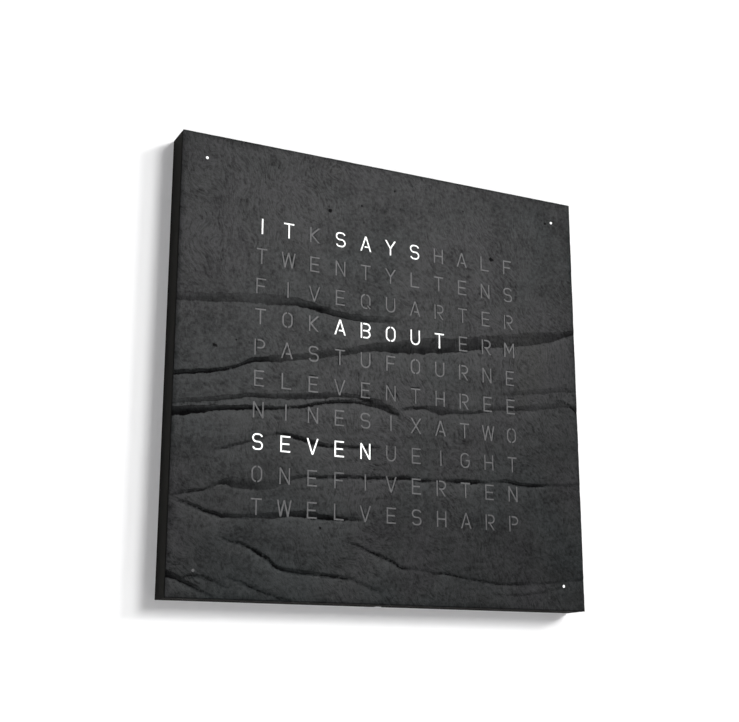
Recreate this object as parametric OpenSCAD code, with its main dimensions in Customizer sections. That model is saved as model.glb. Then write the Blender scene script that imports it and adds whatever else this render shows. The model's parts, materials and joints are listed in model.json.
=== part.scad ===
// Word clock for the wall: a slate face with letters cut through it, lit from behind
// through a grid of white light wells. X runs to the right, Z up, and Y from the face
// towards the wall. The wall is the plane y = 0, and the origin is the middle of the back.
// Depths are counted from the wall towards the viewer.

/* [Dial] */
// Distance between letter columns
column_pitch = 28.2; // [26:0.1:32]
// Distance between letter rows
row_pitch = 30.8; // [28:0.1:36]
// From the side edge of the face to the middle of the outer column
side_margin = 84; // [80:0.5:110]
// From the top edge of the face to the middle of the first row
top_margin = 86.4; // [84:0.1:112]
// Height of a capital letter
cap_height = 16; // [13:0.1:20]
// Width of a plain letter, such as H
letter_w = 11; // [9.5:0.1:13]
// Width of a letter's stroke
stroke = 1.6; // [1.5:0.1:2.3]
// Bridge of slate that holds the inside of a closed letter
bridge = 1.3; // [0.8:0.1:1.8]
// From the edges of the face to the middle of a corner dot
dot_inset = 25; // [24:0.5:32]
// Diameter of a corner dot
dot_d = 3; // [2.5:0.1:5]

/* [Face] */
// Thickness of the slate
slate_t = 2.5; // [1.5:0.1:5]
// Depth of the cleft lines in the slate
cleft_depth = 0.5; // [0.2:0.1:1]
// Thickness of the steel carrier plate
carrier_t = 1.5; // [1:0.1:3]
// How far the carrier's edge lies inside the slate's edge
carrier_inset = 1.5; // [0.5:0.1:4]
// Thickness of the opal sheet
diffuser_t = 0.5; // [0.3:0.1:2]
// How far the letter fillings lie below the slate's surface
inlay_recess = 0.3; // [0.1:0.1:1]
// Gap round a letter filling in its cut-out
inlay_fit = 0.05; // [0.02:0.01:0.15]
// Diameter of the locating pins
pin_d = 4; // [3:0.5:6]
// How far the locating pins stand behind the carrier
pin_l = 6; // [4:0.5:10]
// Gap between the face and the case, all over
seat_gap = 0.3; // [0.2:0.05:0.8]

/* [Case] */
// Thickness of the side rails
rail_t = 12; // [11:0.5:16]
// Thickness of the back panel
back_t = 4; // [3:0.5:6]
// Width of the step in the rails that takes the back panel
rebate_w = 6; // [4:0.5:8]
// Gap round the back panel in its step
panel_fit = 0.3; // [0.1:0.05:0.8]
// Diameter of a magnet
magnet_d = 8; // [5:0.5:9]
// Thickness of a magnet
magnet_t = 3; // [2:0.5:6]
// From the corners of the face to the nearest magnets
magnet_inset = 90; // [60:1:130]
// Shank diameter of the screws
screw_d = 3; // [2.5:0.1:3.5]
// Head diameter of the screws
screw_head_d = 5.6; // [5:0.1:7]
// Length of the back panel's screws
panel_screw_l = 9; // [7:0.5:11]
// Radial gap between a screw or pin and its hole
hole_gap = 0.1; // [0.05:0.05:0.3]

/* [Wall hanging] */
// Distance between the two keyholes
keyhole_spacing = 300; // [240:5:330]
// Diameter of the keyhole's round entry
keyhole_d = 9.5; // [8:0.5:12]
// Width of the keyhole's slot
keyhole_slot = 4.8; // [4.2:0.1:6]
// How far the clock drops onto the wall screws
keyhole_drop = 9; // [7:0.5:12]
// Width of a hanger plate
hanger_w = 20; // [18:1:26]
// Height of a hanger plate
hanger_h = 42; // [38:1:46]
// Thickness of a hanger plate
hanger_t = 1.5; // [1:0.1:2]

/* [Light grid] */
// Height of the posts between the back panel and the LED board
post_h = 8; // [6:0.5:12]
// Diameter of the posts
post_d = 7; // [6:0.5:9]
// Thickness of the circuit boards
board_t = 1.6; // [1:0.1:2]
// Depth of the light wells
well_d = 13.6; // [10:0.2:20]
// Thickness of the light grid's walls
grid_wall = 1.5; // [1:0.1:2.5]
// Strip of LED board outside the light grid
board_edge = 9; // [8:0.5:10]
// From the light grid's corners to the middle of its nearest screw ears
ear_inset = 54; // [40:1:75]
// Side of an LED package
led_w = 5; // [3:0.5:5.5]
// Height of an LED package
led_h = 1.6; // [1:0.1:2]
// Outer diameter of a corner light tube
tube_d = 12; // [10:0.5:14]
// Wall of a corner light tube
tube_wall = 2; // [1:0.1:2.5]

/* [Buttons] */
// Diameter of a button
button_d = 7; // [6:0.5:9]
// Distance between the buttons
button_pitch = 20; // [18:0.5:24]
// Height of the middle button below the middle of the clock
button_drop = 125; // [110:1:130]
// How far a button travels
button_travel = 0.8; // [0.3:0.1:1]
// Gap between a button and the rail
button_gap = 0.3; // [0.2:0.05:0.5]
// Side of a switch body
switch_w = 6; // [5:0.5:7]
// Height of a switch body
switch_h = 3.5; // [3.2:0.1:5]

/* [Power] */
// Width of the cable well inside
well_w = 37; // [30:1:46]
// Height of the cable well inside
well_h = 28; // [24:0.5:30]
// Depth of the cable well inside
well_depth = 17; // [15:0.5:18]
// Wall of the cable well
well_wall = 1.5; // [1:0.1:2]
// Width of the cable's slot through the bottom rail
cable_slot_w = 9; // [6:0.5:12]
// Depth of the cable's slot, from the wall
cable_slot_d = 7; // [5:0.5:9]
// Outer diameter of the power socket
socket_d = 10; // [9:0.5:11]
// Length of the power socket behind the well
socket_l = 12; // [10:0.5:13]

/* [Control board] */
// Width of the control board
control_w = 112; // [100:1:130]
// Height of the control board
control_h = 36; // [34:0.5:38]
// Height of its standoffs
standoff_h = 5; // [4:0.5:8]
// Gap between neighbouring boards and rails
board_gap = 3; // [2:0.5:4]
// Diameter of the coin cell
cell_d = 20; // [16:0.5:20]
// Thickness of the coin cell
cell_t = 3.2; // [1.6:0.1:3.2]
// Thickness of the flat cables
ribbon_t = 0.9; // [0.5:0.1:1.2]
// Length of the antenna's ferrite rod
rod_l = 60; // [40:1:70]
// Diameter of the antenna's ferrite rod
rod_d = 8; // [6:0.5:10]

/* [Hidden] */
$fn = 48;

// The letters, row by row, and the runs of them that are lit: row, first and last column.
DIAL = [
    "ITKSAYSHALF", "TWENTYLTENS", "FIVEQUARTER", "TOKABOUTERM", "PASTUFOURNE",
    "ELEVENTHREE", "NINESIXATWO", "SEVENUEIGHT", "ONEFIVERTEN", "TWELVESHARP"
];
LIT_RUNS = [[0, 0, 1], [0, 3, 6], [3, 3, 7], [7, 0, 4]];
columns = len(DIAL[0]);
rows = len(DIAL);
CORNERS = [[-1, 1], [1, 1], [1, -1], [-1, -1]];
LIT_CORNERS = [0, 1, 2];
UNLIT_CORNERS = [3];

dial_w = (columns - 1) * column_pitch;
dial_h = (rows - 1) * row_pitch;
face_w = dial_w + 2 * side_margin;
face_h = dial_h + 2 * top_margin;
inner_w = face_w - 2 * rail_t;
inner_h = face_h - 2 * rail_t;
panel_w = inner_w + 2 * (rebate_w - panel_fit);
panel_h = inner_h + 2 * (rebate_w - panel_fit);

// Depths from the wall.
board_at = back_t + post_h;
board_front = board_at + board_t;
grid_front = board_front + well_d;
diffuser_at = grid_front + seat_gap;
carrier_at = diffuser_at + diffuser_t;
slate_at = carrier_at + carrier_t;
face_at = slate_at + slate_t;
rail_depth = carrier_at - seat_gap;
inlay_t = carrier_t + slate_t - inlay_recess;

// Screws: the hole's diameter, the head's height and the depth of a blind hole in a post.
screw_hole_d = screw_d + 2 * hole_gap;
screw_head_h = 1.8;
screw_depth = 5;

grid_w = dial_w + column_pitch + grid_wall;
grid_h = dial_h + row_pitch + grid_wall;
led_board_w = grid_w + 2 * board_edge;
led_board_h = grid_h + 2 * board_edge;
diffuser_w = grid_w + grid_wall;
diffuser_h = grid_h + grid_wall;
ear_l = board_edge - 0.5;
ear_w = 10;
ear_t = 2;

// Places of the ears, as x, z and whether the ear lies along the top or bottom edge.
EARS = [for (s = [-1, 1], t = [-1, 1]) each [
    [s * (grid_w / 2 - ear_inset), t * (grid_h + ear_l) / 2, true],
    [s * (grid_w + ear_l) / 2, t * (grid_h / 2 - ear_inset), false]]];

block_w = 2 * (dot_inset - rail_t);
corner_board_w = block_w - 4;
dot_x = face_w / 2 - dot_inset;
dot_z = face_h / 2 - dot_inset;

// The magnets and pins sit in the middle of the rails' thickness.
magnet_x = face_w / 2 - magnet_inset;
magnet_z = face_h / 2 - magnet_inset;
rail_mid = rail_t / 2;

// The free strips below and above the LED board.
strip_bottom = -inner_h / 2;
strip_top = -led_board_h / 2;
hanger_z = (inner_h / 2 + led_board_h / 2) / 2;
keyhole_z = hanger_z - keyhole_drop / 2 - 1;
keyhole_clear_d = keyhole_d + 4;
rivet_z = hanger_h / 2 - 4.5;
rivet_head_t = 1;

well_outer_w = well_w + 2 * well_wall;
well_top = strip_bottom + well_h;
socket_axis = max(well_depth / 2 + 1, back_t + socket_d / 2 + 0.4);
flange_t = 1.5;
flange_edge = 1.8;
socket_bore_d = socket_d - 4;
socket_pin_d = 2;

control_x = well_outer_w / 2 + board_gap + control_w / 2;
control_z = strip_bottom + board_gap + control_h / 2;
control_at = back_t + standoff_h;
control_front = control_at + board_t;
CONTROL_HOLES = [for (c = CORNERS)
    [control_x + c.x * (control_w / 2 - 4), control_z + c.y * (control_h / 2 - 4)]];
connector_h = 5;
connector_w = 26;
connector_l = 6;
lead_w = 5;
lead_x = control_x - control_w / 2 + lead_w / 2 + 9;
link_x = lead_x + lead_w / 2 + 1 + connector_w / 2;
link_low = control_z + control_h / 2 - connector_l / 2 - 2;
link_high = strip_top + connector_l / 2 + 1.2;
jumper_t = 0.3;
jumper_w = 6;

// Bought parts: width, height and thickness.
DRIVER_CHIP = [15, 7.5, 1.6];
MICROCONTROLLER = [12, 12, 1.6];
CLOCK_CHIP = [10, 6, 2];
LIGHT_SENSOR = [4, 4, 1.2];
crystal_d = 4.5;
crystal_h = 3;
chip_gap = 2;
microcontroller_x = link_x + connector_w / 2 + chip_gap + MICROCONTROLLER.x / 2;
clock_chip_x = link_x + connector_w / 2 + chip_gap + CLOCK_CHIP.x / 2;
crystal_x = clock_chip_x + CLOCK_CHIP.x / 2 + chip_gap + crystal_d / 2;
holder_w = cell_d + 4;
holder_t = cell_t + 1.5;
holder_floor = 1;
cell_x = control_x + control_w / 2 - 8 - holder_w / 2;

antenna_x = -(well_outer_w / 2 + board_gap + rod_l / 2 + 12);
antenna_z = (strip_bottom + strip_top) / 2;
antenna_axis = back_t + rod_d / 2 + 4;
coil_d = rod_d + 4;
saddle_w = 6;

// The buttons work along X through the right rail, in the middle of its depth.
button_at = rail_depth / 2;
rail_inside = inner_w / 2;
flange_d = button_d + 3;
button_flange_t = 1.2;
button_sunk = 0.3;
plunger_d = 3.4;
plunger_l = 2;
flange_back = rail_inside - button_gap - button_flange_t;
switch_top = flange_back - button_travel - 0.3;
switch_base = switch_top - switch_h;
spacer_d = 6;
button_lead_w = 6;
button_board_z = -button_drop + button_pitch / 2;
button_board_h = 4 * button_pitch + spacer_d + 2;
button_board_w = rail_depth - back_t - 2 * board_gap;
sensor_z = -button_drop + 2 * button_pitch;
sensor_d = 4;
spacer_z = button_board_h / 2 - 4;
window_end = switch_base + LIGHT_SENSOR.z + 0.3;
buttons = 3;

// The cleft lines of the slate, chosen by eye: the greatest width of each line, and its
// points from the middle of a face that is cleft_span wide and high.
cleft_span = 450;
CLEFTS = [
    [2.2, [[-224, 56], [-165, 63], [-128, 69], [-100, 68], [-65, 59], [-40, 55], [-15, 56]]],
    [2.6, [[-224, -20], [-190, -12], [-160, -1], [-128, 6], [-65, 20], [-40, 26], [10, 35],
        [72, 45], [147, 56], [224, 76]]],
    [3.0, [[-224, -57], [-203, -50], [-165, -45], [-115, -40], [-90, -32], [-65, -29],
        [-15, -31], [7, -36]]],
    [2.0, [[-224, -51], [-198, -37], [-128, -29], [-65, -21], [-15, -25], [0, -32]]],
    [1.4, [[30, -30], [60, -25], [110, -20], [160, -12], [197, -6], [224, -7]]],
    [2.0, [[-170, -84], [-145, -75], [-120, -66], [-80, -74], [-53, -74], [-28, -71]]],
    [1.8, [[-215, -130], [-165, -116], [-115, -111], [-53, -105], [22, -100], [60, -102],
        [110, -96], [172, -99], [197, -97]]],
    [1.8, [[-215, -139], [-170, -149], [-120, -145], [-90, -141], [-53, -144], [-33, -145]]],
    [2.2, [[-173, -170], [-140, -182], [-110, -197], [-53, -201], [-13, -212]]],
    [2.0, [[-40, -169], [-15, -179], [10, -187], [85, -197], [135, -199], [224, -195]]]
];

// ---- Outlines ----

function box(x0, z0, x1, z1) = [[x0, z0], [x1, z0], [x1, z1], [x0, z1]];
function arc(c, r, a, b, n = 6) = [for (i = [0:n])
    c + r * [cos(a + (b - a) * i / n), sin(a + (b - a) * i / n)]];
function mirrored(loop) = [for (i = [len(loop) - 1:-1:0]) [-loop[i].x, loop[i].y]];
function unit(v) = v / norm(v);
function turned(v) = [-v.y, v.x];
function direction(path, i) = unit(path[min(i + 1, len(path) - 1)] - path[min(i, len(path) - 2)]);

// The point beside path[i] at distance d, where the edges of a bent stroke meet.
function beside(path, i, d) =
    let (m = turned(direction(path, i)) + turned(direction(path, max(i - 1, 0))))
    path[i] + 2 * d * m / (m * m);

// A stroke of width w along a path.
function band(path, w) = concat(
    [for (i = [0:len(path) - 1]) beside(path, i, w / 2)],
    [for (i = [len(path) - 1:-1:0]) beside(path, i, -w / 2)]);

// Twice the area of a loop, with its sign.
function turning(loop) = let (n = len(loop))
    [for (i = [0:n - 1]) cross(loop[i], loop[(i + 1) % n])] * [for (i = [1:n]) 1];

// A loop drawn in by d all round.
function inset(loop, d) = let (n = len(loop), side = sign(turning(loop)))
    [for (i = [0:n - 1])
        let (a = unit(loop[i] - loop[(i + n - 1) % n]), b = unit(loop[(i + 1) % n] - loop[i]),
            m = turned(a) + turned(b))
        loop[i] + side * 2 * d * m / (m * m)];

// A line of greatest width w that runs out to a point at both ends.
function tapered(path, w) = let (n = len(path) - 1) concat(
    [path[0]],
    [for (i = [1:n - 1]) beside(path, i, w / 2 * sin(180 * i / n))],
    [path[n]],
    [for (i = [n - 1:-1:1]) beside(path, i, -w / 2 * sin(180 * i / n))]);

// ---- Letters ----
// Each letter is a list of loops in a box from -W to W and from -H to H, with stroke s.
// Closed letters have bridges of width g, as a stencil has.

// Width along X of a sloping stroke that runs dx across and dz up.
function slant(s, dx, dz) = s * norm([dx, dz]) / abs(dz);

function letter_e(W, H, s) = [[[-W, -H], [W, -H], [W, -H + s], [-W + s, -H + s],
    [-W + s, -s / 2], [0.8 * W, -s / 2], [0.8 * W, s / 2], [-W + s, s / 2],
    [-W + s, H - s], [W, H - s], [W, H], [-W, H]]];
function letter_f(W, H, s) = [[[-W, -H], [-W + s, -H], [-W + s, -s / 2], [0.75 * W, -s / 2],
    [0.75 * W, s / 2], [-W + s, s / 2], [-W + s, H - s], [W, H - s], [W, H], [-W, H]]];
function letter_h(W, H, s) = [[[-W, -H], [-W + s, -H], [-W + s, -s / 2], [W - s, -s / 2],
    [W - s, -H], [W, -H], [W, H], [W - s, H], [W - s, s / 2], [-W + s, s / 2],
    [-W + s, H], [-W, H]]];
function letter_i(H, s) = [box(-s / 2, -H, s / 2, H)];
function letter_l(W, H, s) = [[[-W, -H], [W, -H], [W, -H + s], [-W + s, -H + s],
    [-W + s, H], [-W, H]]];
function letter_t(W, H, s) = [[[-s / 2, -H], [s / 2, -H], [s / 2, H - s], [W, H - s],
    [W, H], [-W, H], [-W, H - s], [-s / 2, H - s]]];
function letter_u(W, H, s) = [concat([[-W, H]], arc([0, W - H], W, 180, 360, 10), [[W, H],
    [W - s, H]], arc([0, W - H], W - s, 360, 180, 10), [[-W + s, H]])];

function letter_k(W, H, s) =
    let (k = slant(s, 2 * W - s, H), x0 = -W + s, a = 0.6 * s,
        xi = W - H * (W - k - x0) / (H - a))
    [[[-W, -H], [x0, -H], [x0, -a], [W - k, -H], [W, -H], [xi, 0], [W, H], [W - k, H],
        [x0, a], [x0, H], [-W, H]]];

function letter_m(W, H, s) =
    let (notch = -0.12 * H, v = s * norm([W - s, H - notch]) / (W - s))
    [[[-W, -H], [-W + s, -H], [-W + s, H - v], [0, notch - v], [W - s, H - v], [W - s, -H],
        [W, -H], [W, H], [W - s, H], [0, notch], [-W + s, H], [-W, H]]];

function letter_n(W, H, s) =
    let (across = 2 * (W - s), v = s * norm([across, 2 * (H - s)]) / across)
    [[[-W, -H], [-W + s, -H], [-W + s, H - v], [W - s, -H], [W, -H], [W, H], [W - s, H],
        [W - s, -H + v], [-W + s, H], [-W, H]]];

function letter_v(W, H, s) =
    let (k = slant(s, W, 2 * H), zi = H - 2 * H * (W - k) / (W - k / 2))
    [[[-W, H], [-W + k, H], [0, zi], [W - k, H], [W, H], [k / 2, -H], [-k / 2, -H]]];

function letter_a(W, H, s, g) =
    let (k = slant(s, W, 2 * H), apex = 2 * H * (W - k) / (W - k / 2) - H, bar = -0.42 * H,
        slope = (W - k) / (apex + H), hi = slope * (apex - bar - s / 2),
        lo = slope * (apex - bar + s / 2))
    [[[-W, -H], [-W + k, -H], [0, apex], [hi, bar + s / 2], [-hi + g, bar + s / 2],
        [-hi + g, bar - s / 2], [lo, bar - s / 2], [W - k, -H], [W, -H], [k / 2, H],
        [-k / 2, H]]];

function letter_w_outline(W, H, s) =
    let (k = slant(s, W / 2, 2 * H), zi = H - 2 * H * (W / 2 - k) / (W / 2 - k / 2),
        zo = 2 * H * (W - k) / W - H)
    [[[-W, H], [-W + k, H], [-W / 2, zi], [-k / 2, H], [k / 2, H], [W / 2, zi], [W - k, H],
        [W, H], [W / 2 + k / 2, -H], [W / 2 - k / 2, -H], [0, zo], [-W / 2 + k / 2, -H],
        [-W / 2 - k / 2, -H]]];

function letter_x(W, H, s) =
    let (k = slant(s, 2 * W - s, 2 * H), zc = H - 2 * H * (W - k) / (2 * W - k))
    [[[-W, H], [-W + k, H], [0, zc], [W - k, H], [W, H], [k / 2, 0], [W, -H], [W - k, -H],
        [0, -zc], [-W + k, -H], [-W, -H], [-k / 2, 0]]];

function letter_y(W, H, s) =
    let (k = slant(s, W, H), fork = -0.1 * H,
        notch = H - (W - k) * (H - fork) / (W - s / 2))
    [[[-W, H], [-W + k, H], [0, notch], [W - k, H], [W, H], [s / 2, fork], [s / 2, -H],
        [-s / 2, -H], [-s / 2, fork]]];

// The left side of a round letter: from the gap at the top round to angle a at the bottom.
function round_left(W, H, s, g, a_out, a_in) = concat(
    arc([0, H - W], W, 90 + asin(g / 2 / W), 180), arc([0, W - H], W, 180, a_out),
    arc([0, W - H], W - s, a_in, 180), arc([0, H - W], W - s, 180, 90 + asin(g / 2 / (W - s))));
function letter_o(W, H, s, g) =
    let (left = round_left(W, H, s, g, 270 - asin(g / 2 / W), 270 - asin(g / 2 / (W - s))))
    [left, mirrored(left)];
function letter_q(W, H, s, g) = [
    round_left(W, H, s, g, 292, 292),
    concat(arc([0, H - W], W, 90 - asin(g / 2 / W), 0), arc([0, W - H], W, 0, -18, 2),
        arc([0, W - H], W - s, -18, 0, 2), arc([0, H - W], W - s, 0, 90 - asin(g / 2 / (W - s)))),
    band([[0.37 * W, 0.71 * W - H], [0.94 * W, 0.09 * W - H]], s)
];

function letter_s(W, H, s) =
    let (w = W - s / 2, h = H - s / 2, r = h / 2, x = w - r)
    [band(concat(arc([x, r], r, 20, 90, 4), arc([-x, r], r, 90, 270, 10),
        arc([x, -r], r, 90, -90, 10), arc([-x, -r], r, 270, 200, 4)), s)];

function letter_g(W, H, s) =
    let (w = W - s / 2, h = H - s / 2)
    [band(concat(arc([0, h - w], w, 32, 180, 8), arc([0, w - h], w, 180, 360, 10),
        [[w, 0], [0.1 * W, 0]]), s)];

function stem(W, H, s) = box(-W, -H, -W + s, H);
function letter_b(W, H, s, g) =
    let (x0 = -W + s + g, z = (H - s / 2) / 2, r = (H + s / 2) / 2, x = W - r, q = asin(z / r))
    [stem(W, H, s), concat([[x0, H]], arc([x, z], r, 90, -q), arc([x, -z], r, q, -90),
        [[x0, -H], [x0, -H + s]], arc([x, -z], r - s, -90, 90), [[x0, -s / 2], [x0, s / 2]],
        arc([x, z], r - s, -90, 90), [[x0, H - s]])];

// P and R share a bowl whose lower bar lies a little below the middle. The leg of R is
// a list of two points on the bar's lower edge and two at the foot.
function bowl(W, H, s, g, leg) =
    let (x0 = -W + s + g, low = -0.08 * H - s / 2, r = (H - low) / 2, c = [W - r, H - r])
    concat([[x0, H]], arc(c, r, 90, -90, 10), leg, [[x0, low], [x0, low + s]],
        arc(c, r - s, -90, 90, 10), [[x0, H - s]]);
function letter_p(W, H, s, g) = [stem(W, H, s), bowl(W, H, s, g, [])];
function letter_r(W, H, s, g) =
    let (low = -0.08 * H - s / 2, x = W - (H - low) / 2, k = slant(s, W - x, H + low))
    [stem(W, H, s), bowl(W, H, s, g, [[W, -H], [W - k, -H], [x - k, low]])];

function width_of(ch) = letter_w
    * (ch == "W" ? 1.36 : ch == "Y" ? 1.15 : ch == "E" || ch == "F" || ch == "L" ? 0.93
    : ch == "M" || ch == "A" || ch == "V" || ch == "X" ? 1.13 : 1);

// The loops of one letter.
function letter(ch) =
    let (W = width_of(ch) / 2, H = cap_height / 2, s = stroke, g = bridge)
    ch == "A" ? letter_a(W, H, s, g) : ch == "B" ? letter_b(W, H, s, g) :
    ch == "E" ? letter_e(W, H, s) : ch == "F" ? letter_f(W, H, s) :
    ch == "G" ? letter_g(W, H, s) : ch == "H" ? letter_h(W, H, s) :
    ch == "I" ? letter_i(H, s) : ch == "K" ? letter_k(W, H, s) :
    ch == "L" ? letter_l(W, H, s) : ch == "M" ? letter_m(W, H, s) :
    ch == "N" ? letter_n(W, H, s) : ch == "O" ? letter_o(W, H, s, g) :
    ch == "P" ? letter_p(W, H, s, g) : ch == "Q" ? letter_q(W, H, s, g) :
    ch == "R" ? letter_r(W, H, s, g) : ch == "S" ? letter_s(W, H, s) :
    ch == "T" ? letter_t(W, H, s) : ch == "U" ? letter_u(W, H, s) :
    ch == "V" ? letter_v(W, H, s) : ch == "W" ? letter_w_outline(W, H, s) :
    ch == "X" ? letter_x(W, H, s) : letter_y(W, H, s);

function column_x(c) = (c - (columns - 1) / 2) * column_pitch;
function row_z(r) = ((rows - 1) / 2 - r) * row_pitch;
function is_lit(r, c) = len([for (run = LIT_RUNS)
    if (run[0] == r && run[1] <= c && c <= run[2]) run]) > 0;

// The letters that want says, true for the lit ones and false for the others, each drawn in
// by fit all round.
module letters(fit, want) {
    for (r = [0:rows - 1], c = [0:columns - 1])
        if (is_lit(r, c) == want)
            translate([column_x(c), row_z(r)])
                for (loop = letter(DIAL[r][c])) polygon(inset(loop, fit));
}

module dots(fit, which) {
    for (i = which)
        translate([CORNERS[i].x * dot_x, CORNERS[i].y * dot_z])
            circle(d = dot_d - 2 * fit);
}

module cut_outs() {
    letters(0, true);
    letters(0, false);
    dots(0, concat(LIT_CORNERS, UNLIT_CORNERS));
}

// ---- Placing ----

// Extrudes a drawing in X and Z from depth d towards the viewer.
module slab(d, t) {
    translate([0, -d, 0]) rotate([90, 0, 0]) linear_extrude(t) children();
}

// A rod along Y from depth d towards the viewer.
module rod(x, z, d, dia, t) {
    translate([x, -d, z]) rotate([90, 0, 0]) cylinder(d = dia, h = t);
}

// A rod along X from x towards the right.
module side_rod(x, d, z, dia, t) {
    translate([x, -d, z]) rotate([0, 90, 0]) cylinder(d = dia, h = t);
}

module plate(w, h) {
    square([w, h], center = true);
}

module block(x, z, w, h, d, t) {
    slab(d, t) translate([x, z]) plate(w, h);
}

module at_corners(x, z) {
    for (c = CORNERS) translate([c.x * x, 0, c.y * z]) children();
}

// ---- Face ----

module slate_face() {
    color([0.23, 0.24, 0.245])
        difference() {
            slab(slate_at, slate_t) difference() {
                plate(face_w, face_h);
                cut_outs();
            }
            slab(face_at - cleft_depth, 2 * cleft_depth)
                for (line = CLEFTS)
                    polygon(tapered([for (p = line[1]) [p.x * face_w, p.y * face_h] / cleft_span],
                        line[0]));
        }
}

module carrier_plate() {
    color("dimgray")
        slab(carrier_at, carrier_t) difference() {
            plate(face_w - 2 * carrier_inset, face_h - 2 * carrier_inset);
            cut_outs();
        }
}

module lit_letters() {
    color("white") slab(carrier_at, inlay_t) letters(inlay_fit, true);
}

module unlit_letters() {
    color("gray") slab(carrier_at, inlay_t) letters(inlay_fit, false);
}

module lit_dots() {
    color("white") slab(carrier_at, inlay_t) dots(inlay_fit, LIT_CORNERS);
}

module unlit_dot() {
    color("gray") slab(carrier_at, inlay_t) dots(inlay_fit, UNLIT_CORNERS);
}

module diffuser_sheet() {
    color("whitesmoke") slab(diffuser_at, diffuser_t) {
        plate(diffuser_w, diffuser_h);
        for (c = CORNERS) translate([c.x * dot_x, c.y * dot_z]) circle(d = tube_d);
    }
}

module locating_pins() {
    color("silver")
        for (s = [-1, 1])
            rod(s * (face_w / 2 - rail_mid), 0, carrier_at - pin_l, pin_d, pin_l);
}

// ---- Case ----

// One rail with mitred ends: half the case along the rail, half across it.
module rail(along, across) {
    module length(t) {
        polygon([[-along, across], [along, across], [along - t, across - t],
            [-along + t, across - t]]);
    }
    slab(0, back_t) length(rail_t - rebate_w);
    slab(back_t, rail_depth - back_t) length(rail_t);
}

module magnet_pockets(along, across) {
    for (s = [-1, 1])
        rod(s * along, across - rail_mid, rail_depth - magnet_t, magnet_d + 2 * hole_gap,
            magnet_t + 1);
}

module edge_screw_holes(across) {
    rod(0, across - rail_t + rebate_w / 2, 0, screw_hole_d, panel_screw_l + 1);
}

module top_rail() {
    color([0.12, 0.12, 0.12])
        difference() {
            rail(face_w / 2, face_h / 2);
            magnet_pockets(magnet_x, face_h / 2);
            edge_screw_holes(face_h / 2);
        }
}

module bottom_rail() {
    color([0.12, 0.12, 0.12])
        difference() {
            rotate([0, 180, 0]) difference() {
                rail(face_w / 2, face_h / 2);
                magnet_pockets(magnet_x, face_h / 2);
            }
            block(0, -face_h / 2, cable_slot_w, 3 * rail_t, -1, cable_slot_d + 1);
        }
}

module side_rail() {
    difference() {
        rail(face_h / 2, face_w / 2);
        magnet_pockets(magnet_z, face_w / 2);
        edge_screw_holes(face_w / 2);
        rod(0, face_w / 2 - rail_mid, rail_depth - pin_l, pin_d + 2 * seat_gap, pin_l + 1);
    }
}

module left_rail() {
    color([0.12, 0.12, 0.12]) rotate([0, -90, 0]) side_rail();
}

module right_rail() {
    color([0.12, 0.12, 0.12])
        difference() {
            rotate([0, 90, 0]) side_rail();
            for (i = [0:buttons - 1])
                side_rod(rail_inside - 1, button_at, button_z(i), button_d + 2 * button_gap,
                    rail_t + 2);
            side_rod(rail_inside - 1, button_at, sensor_z, sensor_d + 2 * hole_gap, rail_t + 2);
            for (z = [-1, 1])
                side_rod(rail_inside - 1, button_at, button_board_z + z * spacer_z, screw_d,
                    rail_t / 2 + 1);
        }
}

module corner_blocks() {
    color("burlywood")
        at_corners(dot_x, dot_z) difference() {
            block(0, 0, block_w, block_w, back_t, post_h);
            rod(0, 0, back_t - 1, screw_hole_d, panel_screw_l - back_t + 2);
        }
}

// A countersunk screw whose head lies flush at depth d.
module flush_screw(x, z, d, gap) {
    head_r = screw_head_d / 2 + gap;
    shank_r = screw_d / 2 + gap;
    translate([x, -d, z]) rotate([90, 0, 0]) rotate_extrude()
        polygon([[0, 0], [head_r, 0], [shank_r, head_r - shank_r], [shank_r, panel_screw_l],
            [0, panel_screw_l]]);
}

module panel_screw_set(gap) {
    for (c = CORNERS) flush_screw(c.x * dot_x, c.y * dot_z, 0, gap);
    flush_screw(0, inner_h / 2 + rebate_w / 2, 0, gap);
    for (s = [-1, 1]) flush_screw(s * (inner_w / 2 + rebate_w / 2), 0, 0, gap);
}

module back_panel() {
    color([0.16, 0.16, 0.17])
        difference() {
            slab(0, back_t) plate(panel_w, panel_h);
            panel_screw_set(hole_gap);
            block(0, strip_bottom - rebate_w, well_outer_w + 2 * hole_gap,
                2 * (well_h + well_wall + rebate_w + hole_gap), -1, back_t + 2);
            for (s = [-1, 1]) {
                block(s * keyhole_spacing / 2, hanger_z, hanger_w + 2 * hole_gap,
                    hanger_h + 2 * hole_gap, -1, hanger_t + 1);
                for (z = [0, keyhole_drop])
                    rod(s * keyhole_spacing / 2, keyhole_z + z, -1, keyhole_clear_d, back_t + 2);
                block(s * keyhole_spacing / 2, keyhole_z + keyhole_drop / 2, keyhole_clear_d,
                    keyhole_drop, -1, back_t + 2);
                for (z = [-1, 1])
                    rod(s * keyhole_spacing / 2, hanger_z + z * rivet_z, 0,
                        screw_hole_d, back_t + 1);
            }
        }
}

module panel_screws() {
    color("silver") panel_screw_set(0);
}

module hanger_plates() {
    color("silver")
        for (s = [-1, 1]) difference() {
            block(s * keyhole_spacing / 2, hanger_z, hanger_w, hanger_h, 0, hanger_t);
            rod(s * keyhole_spacing / 2, keyhole_z, -1, keyhole_d, hanger_t + 2);
            rod(s * keyhole_spacing / 2, keyhole_z + keyhole_drop, -1, keyhole_slot, hanger_t + 2);
            block(s * keyhole_spacing / 2, keyhole_z + keyhole_drop / 2, keyhole_slot,
                keyhole_drop, -1, hanger_t + 2);
            for (z = [-1, 1])
                rod(s * keyhole_spacing / 2, hanger_z + z * rivet_z, -1, screw_hole_d,
                    hanger_t + 2);
        }
}

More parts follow.
